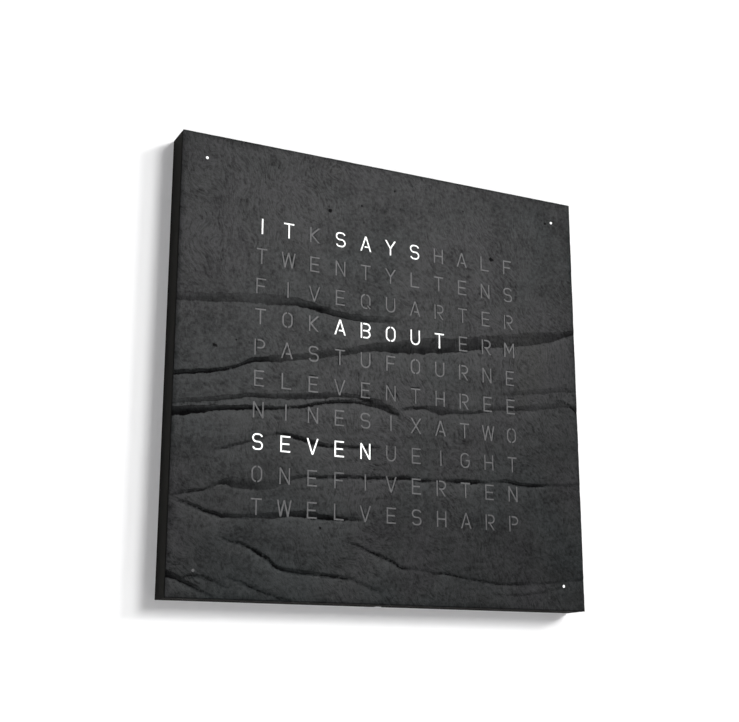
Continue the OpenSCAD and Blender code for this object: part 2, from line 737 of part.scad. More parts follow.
module hanger_rivets() {
    color("gainsboro")
        for (s = [-1, 1], z = [-1, 1]) {
            rod(s * keyhole_spacing / 2, hanger_z + z * rivet_z, 0, screw_d, back_t);
            rod(s * keyhole_spacing / 2, hanger_z + z * rivet_z, back_t, screw_head_d,
                rivet_head_t);
        }
}

module magnets() {
    color("lightsteelblue") {
        for (s = [-1, 1], t = [-1, 1]) {
            rod(s * magnet_x, t * (face_h / 2 - rail_mid), rail_depth - magnet_t, magnet_d,
                magnet_t);
            rod(s * (face_w / 2 - rail_mid), t * magnet_z, rail_depth - magnet_t, magnet_d,
                magnet_t);
        }
    }
}

// ---- Light grid ----

module light_grid() {
    color("white") {
        slab(board_front, well_d) difference() {
            plate(grid_w, grid_h);
            for (r = [0:rows - 1], c = [0:columns - 1])
                translate([column_x(c), row_z(r)])
                    plate(column_pitch - grid_wall, row_pitch - grid_wall);
        }
        for (e = EARS) difference() {
            block(e.x, e.y, e[2] ? ear_w : ear_l, e[2] ? ear_l : ear_w, board_front, ear_t);
            rod(e.x, e.y, board_front - 1, screw_hole_d, ear_t + 2);
        }
    }
}

module led_board() {
    color("darkgreen")
        slab(board_at, board_t) difference() {
            plate(led_board_w, led_board_h);
            for (e = EARS) translate([e.x, e.y]) circle(d = screw_hole_d);
        }
}

module led(x, z) {
    block(x, z, led_w, led_w, board_front, 0.75 * led_h);
    rod(x, z, board_front + 0.75 * led_h, 0.8 * led_w, 0.25 * led_h);
}

module leds() {
    color("lightyellow")
        for (r = [0:rows - 1], c = [0:columns - 1]) led(column_x(c), row_z(r));
}

module led_driver_chips() {
    color("black")
        for (r = [0:rows - 1])
            block(0, row_z(r), DRIVER_CHIP.x, DRIVER_CHIP.y, board_at - DRIVER_CHIP.z,
                DRIVER_CHIP.z);
}

module grid_posts() {
    color("ivory")
        for (e = EARS) difference() {
            rod(e.x, e.y, back_t, post_d, post_h);
            rod(e.x, e.y, board_at - screw_depth, screw_hole_d, screw_depth + 1);
        }
}

// A pan-head screw that comes from the viewer's side, with its head seated at depth d.
module pan_screw(x, z, d, l) {
    rod(x, z, d - l, screw_d, l);
    rod(x, z, d, screw_head_d, screw_head_h);
}

module grid_screws() {
    color("silver")
        for (e = EARS)
            pan_screw(e.x, e.y, board_front + ear_t, ear_t + board_t + screw_depth - 0.5);
}

module corner_tubes() {
    color("white")
        at_corners(dot_x, dot_z) difference() {
            rod(0, 0, board_front, tube_d, well_d);
            rod(0, 0, board_front - 1, tube_d - 2 * tube_wall, well_d + 2);
        }
}

module corner_boards() {
    color("darkgreen")
        for (c = CORNERS)
            block(c.x * dot_x, c.y * dot_z, corner_board_w, corner_board_w, board_at, board_t);
}

module corner_leds() {
    color("lightyellow")
        for (c = CORNERS) led(c.x * dot_x, c.y * dot_z);
}

// Flat jumpers from the LED board's corners to the corner boards.
module corner_jumpers() {
    from = [led_board_w / 2 - 5, led_board_h / 2 - 5];
    to = [dot_x - corner_board_w / 2 + 3, dot_z - corner_board_w / 2 + 3];
    color("chocolate")
        slab(board_front, jumper_t)
            for (c = CORNERS)
                polygon(band([[c.x * from.x, c.y * from.y], [c.x * to.x, c.y * to.y]], jumper_w));
}

// ---- Control board ----

module control_board() {
    color("darkgreen")
        slab(control_at, board_t) difference() {
            translate([control_x, control_z]) plate(control_w, control_h);
            for (p = CONTROL_HOLES) translate(p) circle(d = screw_hole_d);
        }
}

module control_standoffs() {
    color("goldenrod")
        for (p = CONTROL_HOLES) difference() {
            rod(p.x, p.y, back_t, post_d - 1, standoff_h);
            rod(p.x, p.y, back_t + 1, screw_hole_d, standoff_h);
        }
}

module control_screws() {
    color("silver")
        for (p = CONTROL_HOLES) pan_screw(p.x, p.y, control_front, board_t + standoff_h - 1.5);
}

module microcontroller() {
    color("black")
        block(microcontroller_x, control_z - 4, MICROCONTROLLER.x, MICROCONTROLLER.y,
            control_front, MICROCONTROLLER.z);
}

module clock_chip() {
    color("black")
        block(clock_chip_x, control_z + 10, CLOCK_CHIP.x, CLOCK_CHIP.y, control_front,
            CLOCK_CHIP.z);
}

module crystal() {
    color("silver")
        rod(crystal_x, control_z + 10, control_front, crystal_d, crystal_h);
}

module cell_holder() {
    color("black")
        difference() {
            block(cell_x, control_z, holder_w, holder_w, control_front, holder_t);
            rod(cell_x, control_z, control_front + holder_floor, cell_d + 0.6, holder_t);
            block(cell_x, control_z + holder_w / 2, holder_w / 2, holder_w / 2,
                control_front + holder_floor, holder_t);
        }
}

module coin_cell() {
    color("silver") rod(cell_x, control_z, control_front + holder_floor, cell_d, cell_t);
}

module ribbon_connectors() {
    color("dimgray") {
        block(link_x, link_low, connector_w, connector_l, control_front, connector_h);
        block(link_x, link_high, connector_w, connector_l, board_front, connector_h);
    }
}

// The ribbon lies on both connectors and steps up between them.
module ribbon_cable() {
    low = control_front + connector_h + ribbon_t / 2;
    high = board_front + connector_h + ribbon_t / 2;
    color("lightgray")
        translate([link_x - connector_w / 2 + 1, 0, 0]) rotate([90, 0, 90])
            linear_extrude(connector_w - 2)
                polygon(band([[-low, link_low - connector_l / 2], [-low, link_low + connector_l / 2],
                    [-high, link_high - connector_l / 2], [-high, link_high + connector_l / 2]],
                    ribbon_t));
}

// ---- Radio time antenna ----

module antenna_rod() {
    color("dimgray") side_rod(antenna_x - rod_l / 2, antenna_axis, antenna_z, rod_d, rod_l);
}

module antenna_coil() {
    color("peru")
        difference() {
            side_rod(antenna_x - rod_l / 6, antenna_axis, antenna_z, coil_d, rod_l / 3);
            side_rod(antenna_x - rod_l / 2, antenna_axis, antenna_z, rod_d + 2 * hole_gap, rod_l);
        }
}

module antenna_holders() {
    color("ivory")
        for (s = [-1, 1]) difference() {
            block(antenna_x + s * (rod_l / 2 - 6), antenna_z, saddle_w, rod_d + 5, back_t,
                antenna_axis - back_t + 1);
            side_rod(antenna_x - rod_l, antenna_axis, antenna_z, rod_d + 2 * hole_gap, 2 * rod_l);
        }
}

// ---- Power ----

module cable_well() {
    color([0.16, 0.16, 0.17])
        difference() {
            block(0, strip_bottom + (well_h + well_wall) / 2, well_outer_w, well_h + well_wall, 0,
                well_depth + well_wall);
            block(0, strip_bottom + well_h / 2 - 1, well_w, well_h + 2, -1, well_depth + 1);
            translate([0, -socket_axis, well_top - 1])
                cylinder(d = socket_d + 2 * hole_gap, h = well_wall + 2);
        }
}

module power_socket() {
    color([0.1, 0.1, 0.1])
        translate([0, -socket_axis, well_top]) difference() {
            union() {
                translate([0, 0, -flange_t]) cylinder(d = socket_d + 2 * flange_edge, h = flange_t);
                cylinder(d = socket_d, h = socket_l);
            }
            difference() {
                translate([0, 0, -flange_t - 1]) cylinder(d = socket_bore_d, h = socket_l);
                translate([0, 0, -flange_t]) cylinder(d = socket_pin_d, h = socket_l + 1);
            }
        }
}

// The lead starts on the socket's end, passes over the edge of the control board and lies on it.
module power_lead() {
    start = well_top + socket_l;
    run = start + lead_w / 2 + 1;
    color("darkred")
        slab(control_front, ribbon_t)
            polygon(band([[0, start], [0, run], [lead_x, run],
                [lead_x, control_z + control_h / 2 - 8]], lead_w));
}

// ---- Buttons ----

function button_z(i) = -button_drop + (1 - i) * button_pitch;

module button_board() {
    color("darkgreen")
        difference() {
            translate([switch_base - board_t, -button_at - button_board_w / 2,
                button_board_z - button_board_h / 2])
                cube([board_t, button_board_w, button_board_h]);
            for (z = [-1, 1])
                side_rod(switch_base - board_t - 1, button_at, button_board_z + z * spacer_z,
                    screw_hole_d, board_t + 2);
        }
}

module button_spacers() {
    color("ivory")
        for (z = [-1, 1]) difference() {
            side_rod(switch_base, button_at, button_board_z + z * spacer_z, spacer_d,
                rail_inside - switch_base);
            side_rod(switch_base - 1, button_at, button_board_z + z * spacer_z,
                screw_hole_d, rail_t);
        }
}

module button_screws() {
    color("silver")
        for (z = [-1, 1]) {
            side_rod(switch_base - board_t, button_at, button_board_z + z * spacer_z,
                screw_d - 2 * hole_gap, rail_inside - switch_base + board_t + rail_t / 3);
            side_rod(switch_base - board_t - screw_head_h, button_at,
                button_board_z + z * spacer_z, screw_head_d, screw_head_h);
        }
}

module switch_bodies() {
    color("dimgray")
        for (i = [0:buttons - 1]) difference() {
            translate([switch_base, -button_at - switch_w / 2, button_z(i) - switch_w / 2])
                cube([switch_h, switch_w, switch_w]);
            side_rod(switch_base + 1, button_at, button_z(i), plunger_d + 2 * button_gap, switch_h);
        }
}

module button(i) {
    color([0.1, 0.1, 0.1])
        union() {
            side_rod(flange_back, button_at, button_z(i), flange_d, button_flange_t);
            side_rod(flange_back, button_at, button_z(i), button_d,
                face_w / 2 - button_sunk - flange_back);
        }
}

module plunger(i) {
    color("gainsboro")
        side_rod(flange_back - plunger_l, button_at, button_z(i), plunger_d, plunger_l);
}

module hour_button() { button(0); }
module minute_button() { button(1); }
module mode_button() { button(2); }
module hour_plunger() { plunger(0); }
module minute_plunger() { plunger(1); }
module mode_plunger() { plunger(2); }

module light_sensor() {
    color("black")
        translate([switch_base, -button_at - LIGHT_SENSOR.x / 2, sensor_z - LIGHT_SENSOR.y / 2])
            cube([LIGHT_SENSOR.z, LIGHT_SENSOR.x, LIGHT_SENSOR.y]);
}

module sensor_window() {
    color([0.2, 0.18, 0.18])
        side_rod(window_end, button_at, sensor_z, sensor_d, face_w / 2 - button_sunk - window_end);
}

// The lead lies on the control board, passes beside the LED board and ends on the button board.
module button_lead() {
    turn = led_board_w / 2 + 4;
    end_z = button_board_z - spacer_z + spacer_d + 4;
    color("lightgray")
        slab(control_front, ribbon_t)
            polygon(band([[control_x + control_w / 2 - 5, control_z], [turn, control_z],
                [turn, end_z], [switch_base - board_t, end_z]], button_lead_w));
}

slate_face();
carrier_plate();
lit_letters();
unlit_letters();
lit_dots();
unlit_dot();
diffuser_sheet();
locating_pins();
top_rail();
bottom_rail();
left_rail();
right_rail();
corner_blocks();
back_panel();
panel_screws();
hanger_plates();
hanger_rivets();
magnets();
light_grid();
led_board();
leds();
led_driver_chips();
grid_posts();
grid_screws();
corner_tubes();
corner_boards();
corner_leds();
corner_jumpers();
control_board();
control_standoffs();
control_screws();
microcontroller();
clock_chip();
crystal();
cell_holder();
coin_cell();
ribbon_connectors();
ribbon_cable();
antenna_rod();
antenna_coil();
antenna_holders();
cable_well();
power_socket();
power_lead();
button_board();
button_spacers();
button_screws();
switch_bodies();
light_sensor();
sensor_window();
button_lead();
hour_button();
minute_button();
mode_button();
hour_plunger();
minute_plunger();
mode_plunger();
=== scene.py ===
"""Looks for the word clock.

A cleft slate face with lit letters hangs on a matt black case, close to a white wall. The
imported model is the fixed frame; this script gives it materials, replaces the pieces that need
finer forms, and sets up the wall, the lamps and the camera.
"""

import json
import logging
import math
from dataclasses import dataclass, field
from enum import Enum
from typing import Any, Optional, Sequence, Union

import bmesh
import bpy
from mathutils import Matrix, Vector, noise


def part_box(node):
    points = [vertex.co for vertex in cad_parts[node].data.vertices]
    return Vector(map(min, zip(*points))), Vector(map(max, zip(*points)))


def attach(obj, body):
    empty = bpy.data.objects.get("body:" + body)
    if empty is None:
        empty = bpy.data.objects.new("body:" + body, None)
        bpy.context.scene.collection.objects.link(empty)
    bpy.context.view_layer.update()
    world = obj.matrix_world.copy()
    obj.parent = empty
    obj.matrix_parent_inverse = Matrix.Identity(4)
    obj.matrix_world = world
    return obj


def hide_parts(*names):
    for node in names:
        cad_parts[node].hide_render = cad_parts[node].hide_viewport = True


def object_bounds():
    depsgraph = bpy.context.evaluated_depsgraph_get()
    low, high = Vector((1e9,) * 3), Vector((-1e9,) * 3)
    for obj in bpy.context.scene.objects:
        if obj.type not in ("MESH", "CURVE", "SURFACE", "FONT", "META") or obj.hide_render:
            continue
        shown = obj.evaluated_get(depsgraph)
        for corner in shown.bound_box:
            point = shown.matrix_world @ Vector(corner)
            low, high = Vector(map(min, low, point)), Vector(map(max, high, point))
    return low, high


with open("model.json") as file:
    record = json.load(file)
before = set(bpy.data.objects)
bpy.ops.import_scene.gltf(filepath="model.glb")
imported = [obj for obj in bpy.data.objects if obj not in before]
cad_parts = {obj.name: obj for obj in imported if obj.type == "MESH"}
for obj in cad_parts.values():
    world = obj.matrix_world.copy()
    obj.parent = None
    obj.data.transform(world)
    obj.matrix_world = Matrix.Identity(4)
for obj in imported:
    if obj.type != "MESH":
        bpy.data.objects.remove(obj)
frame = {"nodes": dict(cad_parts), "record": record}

logging.basicConfig(level=logging.INFO, format="%(name)s: %(message)s")
log = logging.getLogger("word_clock")

MM = 0.001
CAD_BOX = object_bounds()
Colour = tuple[float, float, float]
Number = Union[float, "Value"]


def mm(*values: float) -> Vector:
    """Returns a vector in metres from lengths in millimetres."""
    return Vector(values) * MM


# ---- Shader maths ----


class Value:
    """A number in a node tree. Python's own operators add the Math nodes."""

    def __init__(self, recipe: "Recipe", socket: bpy.types.NodeSocket) -> None:
        """Wraps one output socket of the recipe's tree."""
        self.recipe = recipe
        self.socket = socket

    def run(self, operation: str, *others: Number, clamp: bool = False) -> "Value":
        """Adds one Math node.

        Args:
            operation: The node's operation.
            others: Its second and third value.
            clamp: Whether the result is held between 0 and 1.

        Returns:
            The node's result.
        """
        inputs = {0: self, **{i + 1: v for i, v in enumerate(others)}}
        settings = {"operation": operation, "use_clamp": clamp}
        return Value(self.recipe, self.recipe.node("ShaderNodeMath", settings, inputs).outputs[0])

    def __add__(self, other: Number) -> "Value":
        """Returns the sum."""
        return self.run("ADD", other)

    __radd__ = __add__

    def __sub__(self, other: Number) -> "Value":
        """Returns the difference."""
        return self.run("SUBTRACT", other)

    def __rsub__(self, other: float) -> "Value":
        """Returns other minus this value."""
        return (self * -1.0).run("ADD", other)

    def __mul__(self, other: Number) -> "Value":
        """Returns the product."""
        return self.run("MULTIPLY", other)

    __rmul__ = __mul__

    def __truediv__(self, other: Number) -> "Value":
        """Returns the quotient."""
        return self.run("DIVIDE", other)

    def __abs__(self) -> "Value":
        """Returns the value without its sign."""
        return self.run("ABSOLUTE")

    def most(self, other: Number) -> "Value":
        """Returns the larger of two values."""
        return self.run("MAXIMUM", other)

    def fraction(self) -> "Value":
        """Returns what is left over the whole number below."""
        return self.run("FRACT")

    def held(self) -> "Value":
        """Returns the value held between 0 and 1."""
        return self.run("ADD", 0.0, clamp=True)

    def rise(self, low: Number, high: Number) -> "Value":
        """Returns a smooth step from 0 at low to 1 at high.

        Args:
            low: The value that gives 0.
            high: The value that gives 1, above or below the other.

        Returns:
            The share, held between 0 and 1.
        """
        settings = {"interpolation_type": "SMOOTHSTEP"}
        inputs = {"Value": self, "From Min": low, "From Max": high}
        return Value(self.recipe, self.recipe.node("ShaderNodeMapRange", settings, inputs).outputs[0])


class Recipe:
    """Builds one material's node tree."""

    def __init__(self, name: str, tree: Optional[bpy.types.NodeTree] = None) -> None:
        """Starts an empty material of that name, or empties a tree that is there.

        Args:
            name: The material's name.
            tree: A tree to use in place of a new material's.
        """
        self.material: Optional[bpy.types.Material] = None
        if tree is None:
            self.material = bpy.data.materials.new(name)
            self.material.use_nodes = True
            tree = self.material.node_tree
        self.tree = tree
        self.tree.nodes.clear()

    def node(self, kind: str, settings: dict[str, Any], inputs: dict[Any, Any]) -> bpy.types.Node:
        """Adds a node.

        Args:
            kind: The node's type.
            settings: Its properties; "stops" fills a colour ramp.
            inputs: Its sockets, by name or number, each with a value or a link.

        Returns:
            The node.
        """
        made = self.tree.nodes.new(kind)
        for key, value in settings.items():
            if key == "stops":
                self._fill_ramp(made.color_ramp, value)
            else:
                setattr(made, key, value)
        for key, value in inputs.items():
            socket = made.inputs[key]
            if isinstance(value, Value):
                self.tree.links.new(value.socket, socket)
            elif isinstance(value, bpy.types.NodeSocket):
                self.tree.links.new(value, socket)
            else:
                socket.default_value = value
        return made

    @staticmethod
    def _fill_ramp(ramp: bpy.types.ColorRamp, stops: Sequence[tuple[float, Colour]]) -> None:
        """Sets the stops of a colour ramp, which begins with two.

        Args:
            ramp: The ramp.
            stops: Each stop's position and colour.
        """
        while len(ramp.elements) < len(stops):
            ramp.elements.new(1.0)
        for element, (position, colour) in zip(ramp.elements, stops):
            element.position = position
            element.color = (*colour, 1.0)

    def place(self) -> bpy.types.NodeSocket:
        """Returns the point in the object's own coordinates, in metres."""
        return self.node("ShaderNodeTexCoord", {}, {}).outputs["Object"]

    def axes(self, point: bpy.types.NodeSocket) -> tuple[Value, Value, Value]:
        """Returns a point's three coordinates."""
        parts = self.node("ShaderNodeSeparateXYZ", {}, {0: point})
        return tuple(Value(self, parts.outputs[i]) for i in range(3))

    def joined(self, x: Number, y: Number, z: Number) -> bpy.types.NodeSocket:
        """Returns a point from three coordinates."""
        return self.node("ShaderNodeCombineXYZ", {}, {0: x, 1: y, 2: z}).outputs[0]

    def turned(self, point: bpy.types.NodeSocket, turn: Sequence[float],
               scale: Sequence[float] = (1, 1, 1)) -> bpy.types.NodeSocket:
        """Returns the point turned by the angles in degrees, then scaled.

        Args:
            point: The point.
            turn: Angles about X, Y and Z, in degrees.
            scale: Scale along each axis, after the turn.

        Returns:
            The turned and scaled point.
        """
        inputs = {"Vector": point, "Rotation": [math.radians(a) for a in turn]}
        spun = self.node("ShaderNodeMapping", {}, inputs).outputs[0]
        return self.node("ShaderNodeMapping", {}, {"Vector": spun, "Scale": scale}).outputs[0]

    def cloud(self, point: bpy.types.NodeSocket, scale: float, detail: float = 3.0,
              rough: float = 0.5, bend: float = 0.0) -> Value:
        """Returns noise about 0.5, with scale waves to the metre.

        Args:
            point: The point.
            scale: Waves or cells to the metre.
            detail: How many finer layers are laid over the first.
            rough: How strong each finer layer is.
            bend: How far the noise bends itself.

        Returns:
            The noise.
        """
        inputs = {"Vector": point, "Scale": scale, "Detail": detail, "Roughness": rough,
                  "Distortion": bend}
        return Value(self, self.node("ShaderNodeTexNoise", {}, inputs).outputs[0])

    def cells(self, point: bpy.types.NodeSocket, scale: float,
              metric: str = "EUCLIDEAN") -> tuple[Value, bpy.types.NodeSocket]:
        """Returns the distance to the nearest cell's middle, and that cell's own colour.

        Args:
            point: The point.
            scale: Waves or cells to the metre.
            metric: How distance is measured.

        Returns:
            The distance and the cell's colour.
        """
        settings = {"distance": metric}
        made = self.node("ShaderNodeTexVoronoi", settings, {"Vector": point, "Scale": scale})
        return Value(self, made.outputs["Distance"]), made.outputs["Color"]

    def tint(self, value: Value, *stops: tuple[float, Colour]) -> bpy.types.NodeSocket:
        """Returns the colour of a ramp at the value."""
        return self.node("ShaderNodeValToRGB", {"stops": stops}, {0: value}).outputs[0]

    def mix(self, factor: Number, first: Any, second: Any, way: str = "MIX") -> bpy.types.NodeSocket:
        """Returns two colours mixed by the factor.

        Args:
            factor: Share of the second colour.
            first: The first colour.
            second: The second colour.
            way: How the two are blended.

        Returns:
            The mixed colour.
        """
        inputs = {"Factor": factor, 6: padded_colour(first), 7: padded_colour(second)}
        settings = {"data_type": "RGBA", "blend_type": way}
        return self.node("ShaderNodeMix", settings, inputs).outputs[2]

    def relief(self, height: Value, depth: float, strength: float = 1.0) -> bpy.types.NodeSocket:
        """Returns a normal from a height of 0 to 1 over a depth in metres."""
        inputs = {"Height": height, "Distance": depth, "Strength": strength}
        return self.node("ShaderNodeBump", {}, inputs).outputs[0]

    def shader(self, **inputs: Any) -> bpy.types.Node:
        """Adds the surface shader, with spaces in its sockets' names written as underscores.

        Args:
            inputs: Values or links of the sockets.

        Returns:
            The shader node.
        """
        named = {key.replace("_", " "): padded_colour(value) if "Color" in key else value
                 for key, value in inputs.items()}
        return self.node("ShaderNodeBsdfPrincipled", {}, named)

    def done(self, surface: bpy.types.NodeSocket) -> bpy.types.Material:
        """Links the surface to the output and returns the material."""
        self.node("ShaderNodeOutputMaterial", {}, {"Surface": surface})
        return self.material

    def dress(self, **inputs: Any) -> bpy.types.Material:
        """Adds the surface shader and returns the finished material."""
        return self.done(self.shader(**inputs).outputs[0])


def padded_colour(value: Any) -> Any:
    """Returns a colour with its fourth number, and anything else as it is."""
    return (*value, 1.0) if isinstance(value, tuple) and len(value) == 3 else value


def fill_curve(mapping: bpy.types.CurveMapping, points: Sequence[tuple[float, float]]) -> None:
    """Sets a curve mapping to run smoothly through the points, and level beyond them.

    Args:
        mapping: The curve's mapping.
        points: Its points, in order.
    """
    mapping.use_clip = False
    mapping.extend = "HORIZONTAL"
    line = mapping.curves[0]
    while len(line.points) < len(points):
        line.points.new(1.0, 1.0)
    for point, (x, y) in zip(line.points, points):
        point.location = (x, y)
        point.handle_type = "AUTO"
    mapping.update()


# ---- Clefts ----


@dataclass(frozen=True)
class Cleft:
    """A band in the slate, where one layer ends and the next lies deeper; its slope and the crease at its
    foot are painted dark as shade.

    Attributes:
        points: Along the band: from the left edge, top of the band and foot of the band, in
        millimetres from the face's top edge, and how dark its painted shade is there, which
        also scales how far the surface steps back.
        drop: How far the surface steps back at the foot, in millimetres.
    """

    points: tuple[tuple[float, float, float, float], ...]
    drop: float = 0.5

    def track(self, column: int) -> list[tuple[float, float]]:
        """Returns one column of the points against the first, as fractions of the face."""
        size = 1.0 if column == 3 else SPAN
        return [(p[0] / SPAN, p[column] / size) for p in self.points]


SPAN = 450.0
CLEFTS: tuple[Cleft, ...] = (
    Cleft(((0, 165.5, 173.5, .45), (25, 163, 171.5, .5), (50, 160, 169.5, .5),
           (75, 156.7, 166.5, .45), (100, 154.6, 164.8, .5), (118, 154.8, 163, .75),
           (130, 156.2, 163.6, .95), (150, 159.7, 166.7, .95), (175, 163.3, 169.7, .9),
           (200, 162.8, 169.7, .6), (225, 160.8, 166.7, .3), (243, 158, 162, .0)), .6),
    Cleft(((0, 241.5, 246, 1.0), (25, 238, 241.7, 1.0), (50, 233.6, 236.4, .95),
           (64, 228.5, 231.5, .9), (75, 221.6, 226, .9), (88, 218.8, 223.2, .95),
           (100, 216, 223, .6), (125, 211.3, 217.6, .45), (150, 204.8, 212.4, .45),
           (175, 200.5, 206.8, .5), (200, 191.8, 200.2, .65), (225, 187.5, 198.4, .75),
           (250, 181.5, 196, .75), (275, 177, 192.6, .78), (300, 173.5, 189, .75),
           (325, 169.2, 183.4, .78), (350, 165, 178, .7), (375, 159.4, 174, .55),
           (400, 154.4, 169, .55), (425, 151, 161, .6), (450, 146.7, 150.8, .75)), .9),
    Cleft(((0, 275.5, 284.6, .95), (25, 273, 279.5, 1.0), (50, 270, 275, 1.0),
           (75, 267.4, 271.9, 1.0), (100, 266.4, 269.8, .9), (125, 262.6, 265.4, .8),
           (150, 256, 259.4, .85), (175, 252.4, 255.8, .85), (200, 252.4, 256, .8),
           (225, 256.8, 261.4, .8), (236, 261, 263.5, .0)), .8),
    Cleft(((0, 268.5, 272.5, .3), (25, 264.8, 269.5, .5), (50, 261, 265.4, .6),
           (75, 255.6, 260, .65), (100, 254.2, 259, .6), (125, 250.8, 256.6, .6),
           (150, 247.2, 253, .65), (175, 245.8, 250, .6), (190, 246, 250, .75),
           (205, 248.2, 254.6, .98), (220, 252, 259, .95), (236, 259.5, 263, .0)), .5),
    Cleft(((236, 255.5, 256.5, .0), (250, 252.2, 254.6, .8), (262, 249.8, 253.4, .75),
           (275, 248.6, 256.4, .6), (300, 250.4, 254.6, .55), (325, 249, 251.8, .4),
           (350, 241, 246, .4), (375, 239.4, 244, .55), (400, 233.4, 240, .35),
           (425, 231.6, 236, .4), (450, 229, 232, .3)), .5),
    Cleft(((424, 227.6, 228.8, .0), (434, 227.8, 230, .7), (443, 231, 235.4, .95),
           (450, 233.6, 239.6, 1.0)), .7),
    Cleft(((352, 226, 230, .0), (376, 222, 227, .3), (400, 217.6, 223, .35),
           (425, 213.6, 219, .4), (450, 211.8, 216, .35)), .3),
    Cleft(((40, 312.5, 314, .0), (52, 309, 311, .45), (75, 300.6, 303, .4),
           (96, 292.6, 295, .25), (106, 290.2, 292.8, .65), (117, 290.6, 294.2, .8),
           (133, 294, 298.4, .85), (150, 297.6, 301, .9), (175, 298.2, 301, .85),
           (200, 295.8, 298.6, .7), (214, 295, 297, .0)), .6),
    Cleft(((0, 357, 359, .2), (12, 353.5, 356, .5), (28, 350.6, 353, .8), (40, 346, 348.4, .3),
           (50, 340.6, 344.4, .85), (62, 338.6, 347.6, .5), (75, 338, 347.8, .5),
           (100, 336.4, 345.6, .3), (125, 331, 334.6, .5), (150, 329.6, 332.4, .8),
           (175, 327.6, 330.4, .9), (200, 326.6, 329, .8), (225, 325.4, 328, .9),
           (240, 323, 326.6, .9), (258, 325, 327.2, .8), (285, 323.6, 326, .5),
           (305, 321.8, 325.4, .85), (325, 321.4, 324.8, .8), (340, 320.6, 322.6, .2),
           (355, 318.4, 321, .7), (375, 320.4, 324.2, .95), (400, 319.8, 322.8, .8),
           (420, 318.6, 321, .35), (450, 316.6, 319.4, .4)), .6),
    Cleft(((8, 362, 363, .0), (14, 362.4, 364.8, .7), (25, 365.6, 368.6, .9),
           (37, 369, 372.4, .95), (50, 371.6, 375.2, .85), (62, 371.6, 375.4, .6),
           (75, 371, 374.6, .4), (100, 367.6, 373.4, .5), (115, 365.8, 371, .7),
           (137, 365.4, 371, .85), (162, 367.2, 371.4, .98), (178, 367.8, 371, .7),
           (198, 367.6, 369.6, .0)), .7),
    Cleft(((50, 393.4, 394.4, .0), (60, 395.6, 397.2, .5), (75, 399, 401.2, .8),
           (86, 403.4, 406.6, .9), (96, 409.8, 412.8, .95), (104, 415.6, 419.4, .95),
           (116, 419.4, 423, .85), (130, 421, 424.6, .75), (150, 422.4, 425.4, .85),
           (175, 424.6, 427, .75), (190, 428.6, 430.4, .3), (202, 433, 435.2, .5),
           (215, 437.8, 439, .0)), .8),
    Cleft(((182, 391.8, 392.6, .0), (190, 394.4, 396, .7), (200, 397.8, 399.6, .9),
           (225, 407, 409.4, 1.0), (238, 413, 415, .8), (250, 413, 415.2, .25),
           (275, 416, 417.8, .4), (292, 417.2, 419, .8), (310, 420.4, 422.4, .6),
           (325, 422, 424, .75), (350, 424, 426.2, .7), (376, 423, 425.4, .5),
           (400, 421.6, 423.6, .3), (425, 418.6, 420.8, .3), (450, 415.4, 418, .5)), .6),
    Cleft(((0, 425, 431.4, 1.0), (10, 429, 434.4, 1.0), (18, 433.6, 438, 1.0),
           (26, 438, 441.6, .8), (36, 443.6, 445.6, .6), (46, 449, 450, .3)), .7),
    Cleft(((15, 429.6, 430.6, .0), (22, 428.6, 430.6, .75), (32, 429, 431.4, .65),
           (42, 431.4, 434, .6), (52, 436, 438, .35), (60, 439, 440, .0)), .5),
    Cleft(((55, 427.6, 428.6, .0), (66, 431.2, 432.8, .55), (82, 437.4, 439.2, .75),
           (96, 442.4, 444, .6), (112, 447, 449, .85), (120, 449.4, 450, .6)), .5),
    Cleft(((336, 434.6, 435.4, .0), (350, 435.2, 436.8, .5), (370, 434.8, 436.8, .45),
           (390, 431.8, 434.4, .35), (410, 428.4, 430.6, .4), (432, 424, 426, .0)), .3),
)


CLEFT_MARKS = "cleft_marks"
CORNERS = ((-1, -1), (1, -1), (1, 1), (-1, 1))


# ---- Finishes ----


@dataclass(frozen=True)
class Finish:
    """What every finish has: the name of its material."""

    name: str

    def make(self) -> bpy.types.Material:
        """Builds the material. Each kind of finish has its own way."""
        raise NotImplementedError


